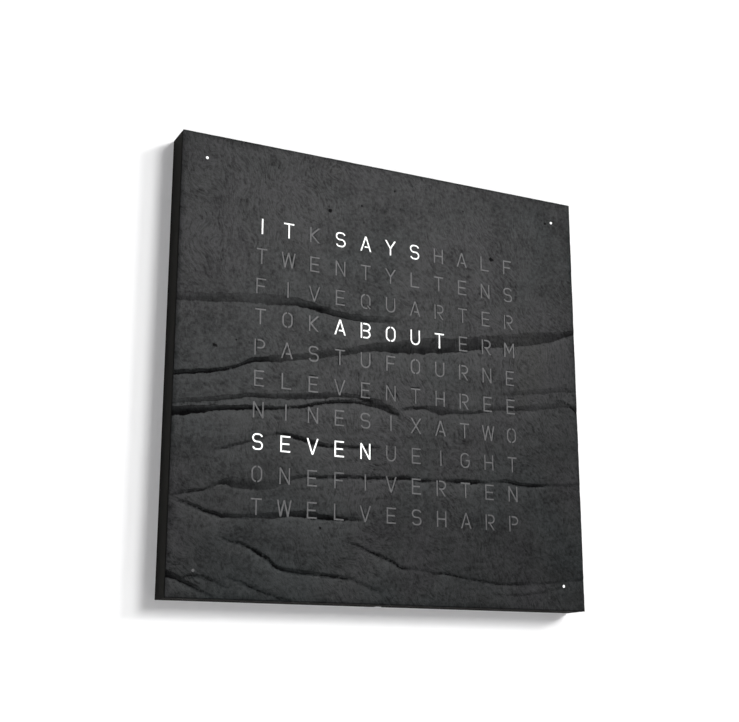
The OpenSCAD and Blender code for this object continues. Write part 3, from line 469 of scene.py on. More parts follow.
@dataclass(frozen=True)
class SlateFinish(Finish):
    """Cleft natural slate: grey, faintly patchy, with a woolly slanting grain.

    Attributes:
        grey: The stone's middle colour.
        deep: The colour of the painted shade at the bottom of the darkest clefts, in the pits and along
            the rim, and of the darker sawn sides.
        front: Depth of the stone's face from the wall, in millimetres.
        sheen: How much of the surface shines softly, as split mica does.
        pits: Pits, painted dark as shade in their hollows: from the left, from the top and radius, in
            millimetres.
    """

    grey: Colour = (0.0212, 0.0222, 0.0227)
    deep: Colour = (0.0022, 0.0022, 0.0024)
    front: float = 32.0
    sheen: float = 0.10
    pits: tuple[tuple[float, float, float], ...] = (
        (39, 213, 2.6), (157, 57, 2.2), (346, 80, 2.8), (312, 31, 1.4), (230, 23, 1.6),
        (149, 380, 1.6), (192, 46, 1.2), (417, 27, 1.6), (60, 205, 1.0))

    def make(self) -> bpy.types.Material:
        """Builds the slate from its grain, its patches, its clefts and its pits, with painted shade
        in the clefts, the pits and along the rim, a painted highlight on the lip below each cleft
        and painted glints.

        Returns:
            The material.
        """
        r = Recipe(self.name)
        point = r.place()
        x, y, z = r.axes(point)
        top = 0.5 - z * (1000 / SPAN)
        layers = r.cloud(r.turned(point, (0, 9, 0), (6, 1, 150)), 1.0, 4, 0.62, 0.3) - 0.5
        # dark is the clefts' painted shade; light is the painted highlight on the lip below each cleft.
        dark, light = self._clefts(r, point, layers)
        # pit is painted dark as shade in the pits' hollows; spark is painted glints.
        pit, spark = self._pits(r, point, x, z)
        wool = self._wool(r, point)
        patch = r.cloud(point, 8, 4, 0.55, 0.4) - 0.5
        mottle = r.cloud(point, 48, 4, 0.62, 0.5) - 0.5
        grit = r.cloud(point, 330, 3, 0.62) - 0.5
        curl = wool * ((patch + 0.5).rise(0.40, 0.60) * 0.8 + 0.38)
        hair = abs(layers + 0.02).rise(0.014, 0.0) * top.rise(0.45, 0.7) * (patch + 0.5).rise(0.47, 0.60)
        # light adds the painted highlight on the lips below the clefts; spark adds painted glints.
        tone = (0.86 + patch * 0.9 + mottle * 0.9 + grit * 1.5 + curl - hair * 0.34
                + layers * top.rise(0.2, 0.8) * 0.6 + light * 0.22 + spark * 1.3)
        hue = r.tint(r.cloud(point, 9, 3, 0.5, 0.8), (0.30, (0.94, 1.02, 1.03)),
                     (0.48, (1.0, 1.0, 1.0)), (0.60, (1.03, 0.985, 1.03)), (0.74, (1.04, 1.01, 0.95)))
        stone = r.mix(1.0, r.mix(1.0, self.grey, hue, "MULTIPLY"), r.joined(tone, tone, tone), "MULTIPLY")
        # Painted shade along the broken rim of the face.
        rim = x.most(abs(z)).rise((SPAN / 2 - 1.5) * MM, (SPAN / 2 - 0.3) * MM)
        sawn = y.rise((1.0 - self.front) * MM, (1.5 - self.front) * MM)
        # Painted shade of the clefts, pits and rim, together with the darker sawn sides.
        shade_and_sawn = dark.most(pit * 0.92).most(rim * 0.6).most(sawn * 0.72).held()
        base = r.mix(shade_and_sawn, stone, self.deep)
        height = (curl * 0.30 + mottle * 0.45 + grit * 0.46 + layers * 0.4 - pit * 0.8 - dark * 0.35)
        return r.dress(Base_Color=base, Roughness=0.80 + shade_and_sawn * 0.15, Specular_IOR_Level=0.03,
                       Coat_Weight=(1.0 - shade_and_sawn) * tone.held() * self.sheen, Coat_Roughness=0.30,
                       Normal=r.relief(height, 0.0032))

    @staticmethod
    def _clefts(r: Recipe, point: bpy.types.NodeSocket, layers: Value) -> tuple[Value, Value]:
        """Returns the painted shade of the clefts, on their slopes and in the crease at their foot, and
        the painted highlight on the lip below them.

        Args:
            r: The recipe.
            point: The point in the stone's own coordinates.
            layers: The stone's long thin layers, which show as streaks in the clefts.

        Returns:
            The clefts' painted shade, and the strength of the lip's painted highlight.
        """
        marks = r.node("ShaderNodeAttribute", {"attribute_name": CLEFT_MARKS}, {})
        gap, inside, depth = r.axes(marks.outputs["Color"])
        lip = Value(r, marks.outputs["Alpha"])
        ragged = r.cloud(point, 95, 4, 0.65) - 0.5
        crumbs = r.cloud(point, 400, 2, 0.6) - 0.5
        wander = r.cloud(point, 24, 3, 0.6) - 0.5
        shift = ragged * 6.0 + wander * 4.0
        torn = gap + shift * (1.0 - inside * 2.0) + crumbs * 1.6
        foot = inside.rise(0.35, 0.65)
        body = torn.rise(0.5 - foot * 0.2, foot * 0.9 - 1.9)
        core = inside.rise(0.2, 0.9) * 0.25 + 0.58 + ragged * 0.9 + layers * 1.5 + wander * 0.9
        edge = abs(torn + 0.6).rise(1.1, 0.1) * (foot * 0.35 + 0.66 + wander * 0.8)
        # Painted shade: body darkens the cleft's sloping face, edge paints the shadowed crease at its
        # foot.
        dark = (body * depth * core).most(edge * depth)
        # The lip below each cleft gets a painted highlight.
        return dark, lip * torn.rise(0.0, 0.8)

    def _pits(self, r: Recipe, point: bpy.types.NodeSocket, x: Value, z: Value) -> tuple[Value, Value]:
        """Returns the pits, the placed ones and a few strewn ones, painted dark as shade in their
        hollows, and pale specks painted as glints.

        Args:
            r: The recipe.
            point: The point.
            x: The point's place along X.
            z: The point's place along Z.

        Returns:
            The pits and the specks.
        """
        ragged = r.cloud(point, 260, 2, 0.6)
        near, own = r.cells(point, 36)
        chance = Value(r, r.node("ShaderNodeSeparateColor", {}, {0: own}).outputs[0])
        closeness = near + (ragged - 0.5) * 0.05
        # Strewn pits, painted dark as shade in their hollows.
        pits = closeness.rise(0.05, 0.02) * chance.rise(0.78, 0.84) * 0.6
        # Pale specks, painted as glints.
        painted_glints = closeness.rise(0.035, 0.01) * chance.rise(0.22, 0.14)
        for left, top, radius in self.pits:
            away = r.node("ShaderNodeVectorMath", {"operation": "LENGTH"}, {
                0: r.joined(x - (left - SPAN / 2) * MM, 0.0, z - (SPAN / 2 - top) * MM)})
            gap = Value(r, away.outputs["Value"]) / (radius * MM) + (ragged - 0.5) * 1.9
            pits = pits.most(gap.rise(1.0, 0.5))
        return pits, painted_glints

    @staticmethod
    def _wool(r: Recipe, point: bpy.types.NodeSocket) -> Value:
        """Returns short slanting wisps that curl about, as on a split face.

        Args:
            r: The recipe.
            point: The point.

        Returns:
            The wisps, about 0.
        """
        drift = r.node("ShaderNodeTexNoise", {}, {"Vector": point, "Scale": 20.0, "Detail": 2.0})
        shift = r.node("ShaderNodeVectorMath", {"operation": "MULTIPLY_ADD"}, {
            0: drift.outputs["Color"], 1: (0.045, 0.0, 0.045), 2: point}).outputs[0]
        slant = r.cloud(r.turned(shift, (0, -42, 0), (95, 1, 500)), 1.0, 3, 0.6, 0.9)
        steep = r.cloud(r.turned(shift, (0, -80, 0), (95, 1, 520)), 1.0, 3, 0.6, 0.7)
        where = r.cloud(point, 12, 3, 0.5).rise(0.40, 0.60)
        return (slant - 0.5) * (1.9 - where * 1.3) + (steep - 0.5) * (0.5 + where * 1.3)


class Glow(Enum):
    """Whether a letter's filling is lit."""

    LIT = 0.62
    UNLIT = 0.0


@dataclass(frozen=True)
class ResinFinish(Finish):
    """Translucent cast filling of the letters.

    Attributes:
        glow: Lit or unlit.
        colour: The filling's own colour.
    """

    glow: Glow = Glow.UNLIT
    colour: Colour = (0.19, 0.19, 0.19)

    def make(self) -> bpy.types.Material:
        """Builds the filling, slightly cloudy, with fine bubbles in its surface.

        Returns:
            The material.
        """
        r = Recipe(self.name)
        point = r.place()
        cloudy = r.cloud(point, 260, 4, 0.6)
        dust = r.cloud(point, 1400, 2, 0.6)
        pale = tuple(min(1.0, c * 1.25) for c in self.colour)
        dim = tuple(c * 0.72 for c in self.colour)
        base = r.mix((cloudy * 0.8 + dust * 0.2).rise(0.3, 0.7), dim, pale)
        glow = r.mix(cloudy, (1.0, 0.985, 0.96), (0.96, 0.98, 1.0))
        return r.dress(Base_Color=base, Roughness=0.34 + dust * 0.16, Specular_IOR_Level=0.25,
                       Emission_Color=glow,
                       Emission_Strength=self.glow.value, Normal=r.relief(dust, 0.00006))


@dataclass(frozen=True)
class LacquerFinish(Finish):
    """Matt black lacquer on wood: a fine orange peel and slightly rubbed edges.

    Attributes:
        colour: The lacquer's colour.
        size: Half the case's width and height, in millimetres.
        depth: The case's depth, in millimetres; not used.
    """

    colour: Colour = (0.026, 0.0256, 0.0243)
    size: float = 225.0
    depth: float = 27.7

    def make(self) -> bpy.types.Material:
        """Builds the lacquer.

        Returns:
            The material.
        """
        r = Recipe(self.name)
        point = r.place()
        x, y, z = r.axes(point)
        peel = r.cloud(point, 950, 2, 0.5)
        dust = r.cloud(point, 2600, 2, 0.6)
        broad = r.cloud(point, 22, 3, 0.55)
        pores = r.cloud(r.turned(point, (0, 0, 0), (900, 900, 60)), 1.0, 2, 0.5)
        rim_x = abs(x).rise((self.size - 0.9) * MM, self.size * MM)
        rim_z = abs(z).rise((self.size - 0.9) * MM, self.size * MM)
        back = y.rise(-1.0 * MM, 0.0)
        chafed = r.cloud(point, 130, 3, 0.7).rise(0.46, 0.62)
        rub = (rim_x * rim_z).most(back * rim_x.most(rim_z) * 0.6) * chafed
        worn = tuple(min(1.0, c * 2.4) for c in self.colour)
        lighter = tuple(c * 1.25 for c in self.colour)
        base = r.mix(rub * 0.55, r.mix(broad * 0.7 + dust * 0.3, self.colour, lighter), worn)
        return r.dress(Base_Color=base, Roughness=0.64 + broad * 0.1 + rub * 0.08,
                       Specular_IOR_Level=0.008,
                       Normal=r.relief(peel * 0.7 + dust * 0.1 + pores * 0.25, 0.00009))


@dataclass(frozen=True)
class TimberFinish(Finish):
    """Plain planed wood with grain along one axis.

    Attributes:
        pale: Colour of the early wood.
        dark: Colour of the late wood.
    """

    pale: Colour = (0.60, 0.43, 0.25)
    dark: Colour = (0.42, 0.27, 0.13)

    def make(self) -> bpy.types.Material:
        """Builds the wood from rings, fibres and pores.

        Returns:
            The material.
        """
        r = Recipe(self.name)
        point = r.place()
        bend = r.cloud(r.turned(point, (0, 0, 0), (30, 30, 6)), 1.0, 3, 0.5)
        x, y, _ = r.axes(point)
        rings = ((x * 190 + y * 60 + bend * 5).fraction() - 0.5).run("ABSOLUTE") * 2
        fibre = r.cloud(r.turned(point, (0, 0, 0), (1500, 1500, 40)), 1.0, 3, 0.6)
        base = r.mix((rings * 0.6 + fibre * 0.5).held(), self.pale, self.dark)
        return r.dress(Base_Color=base, Roughness=0.55 + fibre * 0.2,
                       Normal=r.relief(fibre * 0.6 + rings * 0.4, 0.00012))


@dataclass(frozen=True)
class FibreboardFinish(Finish):
    """Thin black hardboard, smooth with pressed fibres.

    Attributes:
        colour: The board's colour.
    """

    colour: Colour = (0.030, 0.029, 0.028)

    def make(self) -> bpy.types.Material:
        """Builds the board.

        Returns:
            The material.
        """
        r = Recipe(self.name)
        point = r.place()
        long_ = r.cloud(r.turned(point, (0, 20, 0), (260, 260, 900)), 1.0, 3, 0.6, 1.4)
        cross_ = r.cloud(r.turned(point, (0, -50, 0), (300, 300, 800)), 1.0, 3, 0.6, 1.6)
        speck = r.cloud(point, 1700, 2, 0.6)
        broad = r.cloud(point, 9, 4, 0.5)
        fibre = long_.rise(0.55, 0.72) + cross_.rise(0.58, 0.74)
        pale = tuple(c * 2.6 for c in self.colour)
        base = r.mix((fibre * 0.3 + speck.rise(0.6, 0.8) * 0.35 + broad * 0.25).held(),
                     self.colour, pale)
        return r.dress(Base_Color=base, Roughness=0.62 + speck * 0.2,
                       Normal=r.relief(fibre * 0.5 + speck * 0.5, 0.00010))


class Grain(Enum):
    """How a metal was worked: the stretch of its fine lines along X, Y and Z."""

    BRUSHED = (900.0, 900.0, 30.0)
    TURNED = (300.0, 30.0, 300.0)
    ROLLED = (60.0, 900.0, 500.0)
    CAST = (400.0, 400.0, 400.0)


@dataclass(frozen=True)
class MetalFinish(Finish):
    """Bare or plated metal with fine working marks and dull patches.

    Attributes:
        colour: The metal's colour.
        rough: Its mean roughness.
        grain: How it was worked.
    """

    colour: Colour = (0.60, 0.60, 0.59)
    rough: float = 0.34
    grain: Grain = Grain.BRUSHED

    def make(self) -> bpy.types.Material:
        """Builds the metal.

        Returns:
            The material.
        """
        r = Recipe(self.name)
        point = r.place()
        lines = r.cloud(r.turned(point, (0, 0, 0), self.grain.value), 1.0, 3, 0.65)
        patch = r.cloud(point, 110, 4, 0.6, 0.5)
        crystal, _ = r.cells(point, 420)
        dull = tuple(c * 0.72 for c in self.colour)
        base = r.mix((patch * 0.7 + lines * 0.35).rise(0.3, 0.8), dull, self.colour)
        return r.dress(Base_Color=base, Metallic=1.0,
                       Roughness=self.rough - 0.1 + lines * 0.14 + patch * 0.1 + crystal * 0.04,
                       Normal=r.relief(lines * 0.7 + crystal * 0.3, 0.00004))


@dataclass(frozen=True)
class PlasticFinish(Finish):
    """Moulded plastic with a spark-eroded grain and faint flow marks.

    Attributes:
        colour: The plastic's colour.
        rough: Its mean roughness.
        grit: Depth of the moulded grain, in millimetres.
        scale: Grains to the metre.
        gloss: Its specular level.
    """

    colour: Colour = (0.02, 0.02, 0.02)
    rough: float = 0.5
    grit: float = 0.05
    scale: float = 1500.0
    gloss: float = 0.5

    def make(self) -> bpy.types.Material:
        """Builds the plastic.

        Returns:
            The material.
        """
        r = Recipe(self.name)
        point = r.place()
        grit = r.cloud(point, self.scale, 2, 0.6)
        flow = r.cloud(point, 38, 3, 0.5, 1.2)
        dim = tuple(c * 0.86 for c in self.colour)
        pale = tuple(min(1.0, c * 1.12 + 0.002) for c in self.colour)
        base = r.mix((flow * 0.8 + grit * 0.2).rise(0.3, 0.7), dim, pale)
        return r.dress(Base_Color=base, Roughness=self.rough - 0.06 + grit * 0.1 + flow * 0.05,
                       Specular_IOR_Level=self.gloss,
                       Normal=r.relief(grit, self.grit * MM))


@dataclass(frozen=True)
class CircuitFinish(Finish):
    """Circuit board: green mask over stepped tracks, with small bright pads.

    Attributes:
        mask: Colour of the mask over bare board.
        track: Colour of the mask over copper.
        pad: Colour of the tinned pads.
    """

    mask: Colour = (0.008, 0.060, 0.024)
    track: Colour = (0.018, 0.125, 0.050)
    pad: Colour = (0.62, 0.62, 0.58)

    def make(self) -> bpy.types.Material:
        """Builds the board.

        Returns:
            The material.
        """
        r = Recipe(self.name)
        point = r.place()
        square, _ = r.cells(point, 32, "CHEBYCHEV")
        tracks = abs((square * 11).fraction() - 0.5).rise(0.17, 0.25)
        dots, _ = r.cells(point, 150)
        pads = dots.rise(0.17, 0.13)
        weave = r.cloud(point, 1900, 2, 0.5)
        green = r.mix((tracks * 0.85 + weave * 0.15).held(), self.mask, self.track)
        base = r.mix(pads, green, self.pad)
        return r.dress(Base_Color=base, Metallic=pads * 0.9, Roughness=0.30 + weave * 0.12,
                       Normal=r.relief(tracks * 0.6 + pads * 0.4 + weave * 0.1, 0.00005))


@dataclass(frozen=True)
class LampFinish(Finish):
    """Light-emitting package: a white body with a yellow lens.

    Attributes:
        body: The body's colour.
        lens: The lens's colour.
        lens_at: Depth where the lens begins, in millimetres from the wall.
    """

    body: Colour = (0.80, 0.80, 0.77)
    lens: Colour = (0.78, 0.62, 0.10)
    lens_at: float = 14.85

    def make(self) -> bpy.types.Material:
        """Builds the package, with its lens told from the body by depth.

        Returns:
            The material.
        """
        r = Recipe(self.name)
        point = r.place()
        _, y, _ = r.axes(point)
        lens = y.rise(-(self.lens_at - 0.05) * MM, -(self.lens_at + 0.05) * MM)
        grit = r.cloud(point, 2400, 2, 0.5)
        base = r.mix(lens, r.mix(grit, self.body, (0.66, 0.66, 0.62)), self.lens)
        return r.dress(Base_Color=base, Roughness=0.5 - lens * 0.3 + grit * 0.08,
                       Normal=r.relief(grit, 0.00003))


@dataclass(frozen=True)
class RibbonFinish(Finish):
    """Flat cable: parallel cores with grooves between them.

    Attributes:
        colour: The cable's colour.
        pitch: Distance between cores, in millimetres.
        turn: Turn of the cores about Y, in degrees; at 0 they lie along Z.
    """

    colour: Colour = (0.40, 0.40, 0.41)
    pitch: float = 1.27
    turn: float = 0.0

    def make(self) -> bpy.types.Material:
        """Builds the cable, with painted shade in the grooves between the cores.

        Returns:
            The material.
        """
        r = Recipe(self.name)
        point = r.place()
        x, _, _ = r.axes(r.turned(point, (0, self.turn, 0)))
        core = abs((x * (1000 / self.pitch)).fraction() - 0.5) * 2
        ridge = (1.0 - core * core)
        grit = r.cloud(point, 1300, 2, 0.5)
        # Painted shade in the grooves between the cores.
        painted_groove_shade = tuple(c * 0.45 for c in self.colour)
        base = r.mix((ridge * 1.6).held(), painted_groove_shade, self.colour)
        return r.dress(Base_Color=r.mix(grit * 0.2, base, (0.1, 0.1, 0.1)),
                       Roughness=0.42 + grit * 0.14, Normal=r.relief(ridge, 0.00030))


@dataclass(frozen=True)
class FerriteFinish(Finish):
    """Ground ferrite: dark grey, dense and speckled.

    Attributes:
        colour: The ferrite's colour.
    """

    colour: Colour = (0.045, 0.045, 0.048)

    def make(self) -> bpy.types.Material:
        """Builds the ferrite with its grinding lines and pores.

        Returns:
            The material.
        """
        r = Recipe(self.name)
        point = r.place()
        ground = r.cloud(r.turned(point, (0, 0, 0), (60, 1400, 1400)), 1.0, 3, 0.6)
        speck, _ = r.cells(point, 1500)
        pale = tuple(c * 2.4 for c in self.colour)
        base = r.mix((ground * 0.5 + speck * 0.5).rise(0.2, 0.8), self.colour, pale)
        return r.dress(Base_Color=base, Roughness=0.36 + speck * 0.25,
                       Normal=r.relief(ground * 0.6 + speck * 0.4, 0.00005))


@dataclass(frozen=True)
class WindowFinish(Finish):
    """Smoked acrylic, nearly black and polished.

    Attributes:
        colour: The acrylic's colour.
    """

    colour: Colour = (0.020, 0.012, 0.012)

    def make(self) -> bpy.types.Material:
        """Builds the acrylic with faint polishing swirls.

        Returns:
            The material.
        """
        r = Recipe(self.name)
        point = r.place()
        swirl = r.cloud(point, 600, 3, 0.6, 1.5)
        base = r.mix(swirl, self.colour, tuple(c * 1.8 for c in self.colour))
        return r.dress(Base_Color=base, Roughness=0.08 + swirl * 0.08, Coat_Weight=0.6,
                       Normal=r.relief(swirl, 0.00001))


FINISHES: dict[str, Finish] = {
    "slate": SlateFinish("slate"),
    "carrier_steel": PlasticFinish("carrier_steel", (0.010, 0.010, 0.010), 0.62, 0.08, 1100, 0.12),
    "lit_resin": ResinFinish("lit_resin", Glow.LIT, (0.76, 0.76, 0.76)),
    "unlit_resin": ResinFinish("unlit_resin", Glow.UNLIT, (0.066, 0.066, 0.068)),
    "opal_sheet": PlasticFinish("opal_sheet", (0.80, 0.80, 0.79), 0.38, 0.02, 900),
    "zinc_steel": MetalFinish("zinc_steel", (0.60, 0.60, 0.58), 0.32, Grain.TURNED),
    "case_lacquer": LacquerFinish("case_lacquer"),
    "raw_wood": TimberFinish("raw_wood"),
    "panel_board": FibreboardFinish("panel_board"),
    "hanger_steel": MetalFinish("hanger_steel", (0.56, 0.56, 0.55), 0.36, Grain.ROLLED),
    "rivet_aluminium": MetalFinish("rivet_aluminium", (0.72, 0.72, 0.72), 0.30, Grain.TURNED),
    "magnet_nickel": MetalFinish("magnet_nickel", (0.66, 0.63, 0.57), 0.16, Grain.CAST),
    "white_plastic": PlasticFinish("white_plastic", (0.80, 0.80, 0.79), 0.46, 0.04, 1300),
    "circuit_board": CircuitFinish("circuit_board"),
    "led_package": LampFinish("led_package"),
    "chip_black": PlasticFinish("chip_black", (0.016, 0.016, 0.017), 0.52, 0.05, 2300),
    "natural_plastic": PlasticFinish("natural_plastic", (0.68, 0.65, 0.55), 0.40, 0.03, 900),
    "flex_polyimide": PlasticFinish("flex_polyimide", (0.36, 0.15, 0.02), 0.24, 0.02, 500),
    "brass_standoff": MetalFinish("brass_standoff", (0.74, 0.56, 0.25), 0.24, Grain.TURNED),
    "crystal_can": MetalFinish("crystal_can", (0.66, 0.66, 0.65), 0.22, Grain.BRUSHED),
    "black_plastic": PlasticFinish("black_plastic", (0.018, 0.018, 0.018), 0.46, 0.06, 1400),
    "cell_steel": MetalFinish("cell_steel", (0.64, 0.64, 0.63), 0.22, Grain.ROLLED),
    "ribbon_grey": RibbonFinish("ribbon_grey", (0.42, 0.42, 0.43)),
    "ferrite": FerriteFinish("ferrite"),
    "copper_winding": MetalFinish("copper_winding", (0.72, 0.28, 0.12), 0.30, Grain.CAST),
    "lead_red": RibbonFinish("lead_red", (0.34, 0.015, 0.012), 2.5),
    "switch_black": PlasticFinish("switch_black", (0.026, 0.026, 0.026), 0.42, 0.03, 1500),
    "smoked_window": WindowFinish("smoked_window"),
    "button_plastic": PlasticFinish("button_plastic", (0.0135, 0.0135, 0.0135), 0.44, 0.04, 1700),
}


class Wardrobe:
    """Makes each finish once and puts it on objects."""

    def __init__(self) -> None:
        """Starts with nothing made."""
        self.made: dict[str, bpy.types.Material] = {}

    def wear(self, thing: bpy.types.Object, slot: str) -> None:
        """Gives an object the material of a slot, in place of any it had.

        Args:
            thing: The piece.
            slot: The finish's slot.
        """
        if slot not in self.made:
            self.made[slot] = FINISHES[slot].make()
        thing.data.materials.clear()
        thing.data.materials.append(self.made[slot])

    def dress_frame(self) -> None:
        """Gives every node of the frame the finish of its own slot."""
        for part in frame["record"]["subparts"]:
            self.wear(frame["nodes"][part["node"]], part["material_slot"])
        log.info("dressed %d nodes in %d finishes", len(frame["nodes"]), len(self.made))


# ---- Mesh helpers ----


def new_piece(name: str, bm: bmesh.types.BMesh) -> bpy.types.Object:
    """Turns a bmesh into an object in the scene.

    Args:
        name: The object's name.
        bm: The mesh, which is freed.

    Returns:
        The object, at the origin.
    """
    mesh = bpy.data.meshes.new(name)
    bm.to_mesh(mesh)
    bm.free()
    piece = bpy.data.objects.new(name, mesh)
    bpy.context.scene.collection.objects.link(piece)
    return piece


def merged_copy(node: str) -> bmesh.types.BMesh:
    """Returns a node's mesh as a bmesh with its loose triangles joined.

    Args:
        node: The node's name.

    Returns:
        The copy, with its doubles merged.
    """
    bm = bmesh.new()
    bm.from_mesh(frame["nodes"][node].data)
    bmesh.ops.remove_doubles(bm, verts=bm.verts, dist=2e-6)
    return bm


def carve(piece: bpy.types.Object, cutters: Sequence[bpy.types.Object]) -> None:
    """Cuts the cutters out of a piece and removes them.

    Args:
        piece: The object that is cut.
        cutters: Closed objects that are taken away from it.
    """
    for cutter in cutters:
        cut = piece.modifiers.new("cut", "BOOLEAN")
        cut.operation = "DIFFERENCE"
        cut.solver = "MANIFOLD"
        cut.object = cutter
    graph = bpy.context.evaluated_depsgraph_get()
    mesh = bpy.data.meshes.new_from_object(piece.evaluated_get(graph))
    piece.modifiers.clear()
    piece.data = mesh
    for cutter in cutters:
        bpy.data.objects.remove(cutter)


def round_off(piece: bpy.types.Object, angle: float = 32.0) -> None:
    """Shades a piece smooth, with edges over the angle in degrees kept sharp."""
    piece.data.shade_smooth()
    piece.data.set_sharp_from_angle(angle=math.radians(angle))


def islands(bm: bmesh.types.BMesh) -> list[list[bmesh.types.BMVert]]:
    """Returns the vertices of each separate solid of a mesh.

    Args:
        bm: The mesh.

    Returns:
        The separate parts of the mesh.
    """
    left = set(bm.verts)
    groups = []
    while left:
        start = left.pop()
        group, front = [start], [start]
        while front:
            for edge in front.pop().link_edges:
                for vert in edge.verts:
                    if vert in left:
                        left.remove(vert)
                        group.append(vert)
                        front.append(vert)
        groups.append(group)
    return groups


# ---- Pieces ----


@dataclass
class SlatePlate:
    """The cleft slate with its letters cut through.

    Attributes:
        cell: Width of the front's mesh, in millimetres.
        swell: Height of the broad waves of the surface, in millimetres.
        chip: How far the front's rim is broken back, in millimetres.
        recover: Length below a cleft over which the surface comes forward again.
        lip: Length below a cleft that is painted paler, as a highlight.
        columns: The clefts met at each column of the mesh.
        marks: What the finish needs to know at each point of the front.
    """

    cell: float = 1.7
    swell: float = 0.22
    chip: float = 0.45
    recover: float = 28.0
    lip: float = 15.0
    columns: dict[int, list[tuple[float, float, float, float]]] = field(default_factory=dict)
    marks: list[tuple[float, float, float, float]] = field(default_factory=list)

    def build(self, wardrobe: Wardrobe) -> bpy.types.Object:
        """Builds the slate, cuts the letters and puts it in place of its node.

        Args:
            wardrobe: Gives the finish.

        Returns:
            The slate.
        """
        low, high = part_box("slate_face")
        bm = bmesh.new()
        count = round((high.x - low.x) / (self.cell * MM))
        bmesh.ops.create_grid(bm, x_segments=count, y_segments=count, size=high.x)
        bmesh.ops.rotate(bm, verts=bm.verts, matrix=Matrix.Rotation(math.radians(90), 3, "X"))
        self._read_clefts(count)
        self._shape(bm, count, low.y)
        self._mark(bm)
        rim = [e for e in bm.edges if e.is_boundary]
        walls = bmesh.ops.extrude_edge_only(bm, edges=rim)["geom"]
        for vert in (g for g in walls if isinstance(g, bmesh.types.BMVert)):
            vert.co.y = high.y
        back = [g for g in walls if isinstance(g, bmesh.types.BMEdge) and g.is_boundary]
        bmesh.ops.edgeloop_fill(bm, edges=back)
        bmesh.ops.recalc_face_normals(bm, faces=bm.faces)
        slate = new_piece("cleft_slate", bm)
        carve(slate, self._cutters(low.y))
        round_off(slate, 40)
        wardrobe.wear(slate, "slate")
        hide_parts("slate_face")
        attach(slate, "face")
        log.info("slate: %d triangles", sum(len(p.vertices) - 2 for p in slate.data.polygons))
        return slate

    def _read_clefts(self, count: int) -> None:
        """Reads each cleft's edges and depth at every column of the mesh.

        Args:
            count: Cells along a side.
        """
        reader = bpy.data.materials.new("reader")
        reader.use_nodes = True
        tracks = []
        for cleft in CLEFTS:
            curves = []
            for column in (1, 2, 3):
                node = reader.node_tree.nodes.new("ShaderNodeFloatCurve")
                fill_curve(node.mapping, cleft.track(column))
                curves.append(node.mapping)
            tracks.append(curves)
        for i in range(count + 1):
            at = i / count
            found = []
            for cleft, (upper, foot, depth) in zip(CLEFTS, tracks):
                first, last = cleft.points[0][0] / SPAN, cleft.points[-1][0] / SPAN
                if first <= at <= last:
                    u, f, d = (m.evaluate(m.curves[0], at) for m in (upper, foot, depth))
                    found.append((u * SPAN, f * SPAN, max(d, 0.0), cleft.drop))
            self.columns[i] = found
        bpy.data.materials.remove(reader)

    def _shape(self, bm: bmesh.types.BMesh, count: int, front: float) -> None:
        """Moves the grid's points onto the clefts' edges and pushes them back to the relief.

        Args:
            bm: The flat grid, in the plane of X and Z.
            count: Cells along a side.
            front: Depth of the slate's foremost surface, in metres.
        """
        half = SPAN / 2
        step = SPAN / count
        for vert in bm.verts:
            left = vert.co.x / MM + half
            top = half - vert.co.z / MM
            column = self.columns[round(left / step)]
            edge = min(left, SPAN - left, top, SPAN - top)
            if edge > step / 2:
                lines = [v for c in column if c[2] > 0.05 for v in (c[0], c[1])]
                near = min(lines, key=lambda v: abs(v - top), default=top)
                if abs(near - top) < step / 2:
                    top = near
            back = self._broad(left, top) + self._steps(column, top)
            if edge < 2.4:
                bite = noise.noise(Vector((left * 0.09, top * 0.09, 7.0)))
                back += (1 - edge / 2.4) * self.chip * (0.35 + max(0.0, bite) * 1.2)
            vert.co.z = (half - top) * MM
            vert.co.y = front + back * MM
            self.marks.append(self._marks_at(column, top))

    def _marks_at(self, column: Sequence[tuple[float, float, float, float]],
                  top: float) -> tuple[float, float, float, float]:
        """Returns what the finish needs at a point.

        Args:
            column: The clefts met at the point's column.
            top: The point's distance from the face's top edge, in millimetres.

        Returns:
            The way out of the nearest cleft, below 0 inside it; the place between its upper
            edge and its foot; its depth; and the strength of the painted highlight on the lip.
        """
        gap, inside, nearest, pale = 60.0, 0.0, 0.0, 0.0
        for upper, foot, depth, _ in column:
            away = max(upper - top, top - foot)
            if away - depth * 0.5 < gap - nearest * 0.5:
                gap, nearest = away, depth
                inside = min(1.0, max(0.0, (top - upper) / max(foot - upper, 0.1)))
            # The lip below a cleft gets a painted highlight.
            if 0 <= top - foot < self.lip:
                pale = max(pale, depth * (1 - (top - foot) / self.lip))
        return gap, inside, nearest, pale

    def _mark(self, bm: bmesh.types.BMesh) -> None:
        """Writes the marks to the mesh's corners, where cuts keep them.

        Args:
            bm: The mesh.
        """
        layer = bm.loops.layers.float_color.new(CLEFT_MARKS)
        bm.verts.index_update()
        for face in bm.faces:
            for loop in face.loops:
                loop[layer] = self.marks[loop.vert.index]

    def _broad(self, left: float, top: float) -> float:
        """Returns how far back the waves of the surface lie at a point, in millimetres.

        Args:
            left: Distance from the face's left edge, in millimetres.
            top: Distance from the face's top edge, in millimetres.

        Returns:
            The depth, 0 or more.
        """
        wide = noise.noise(Vector((left / 95, top / 60, 1.0)))
        mid = noise.noise(Vector((left / 31, top / 21, 5.0)))
        fine = noise.noise(Vector((left / 8.0, top / 6.0, 9.0)))
        return max(0.0, self.swell * (1 + wide * 0.8 + mid * 0.5 + fine * 0.22) * 0.7)

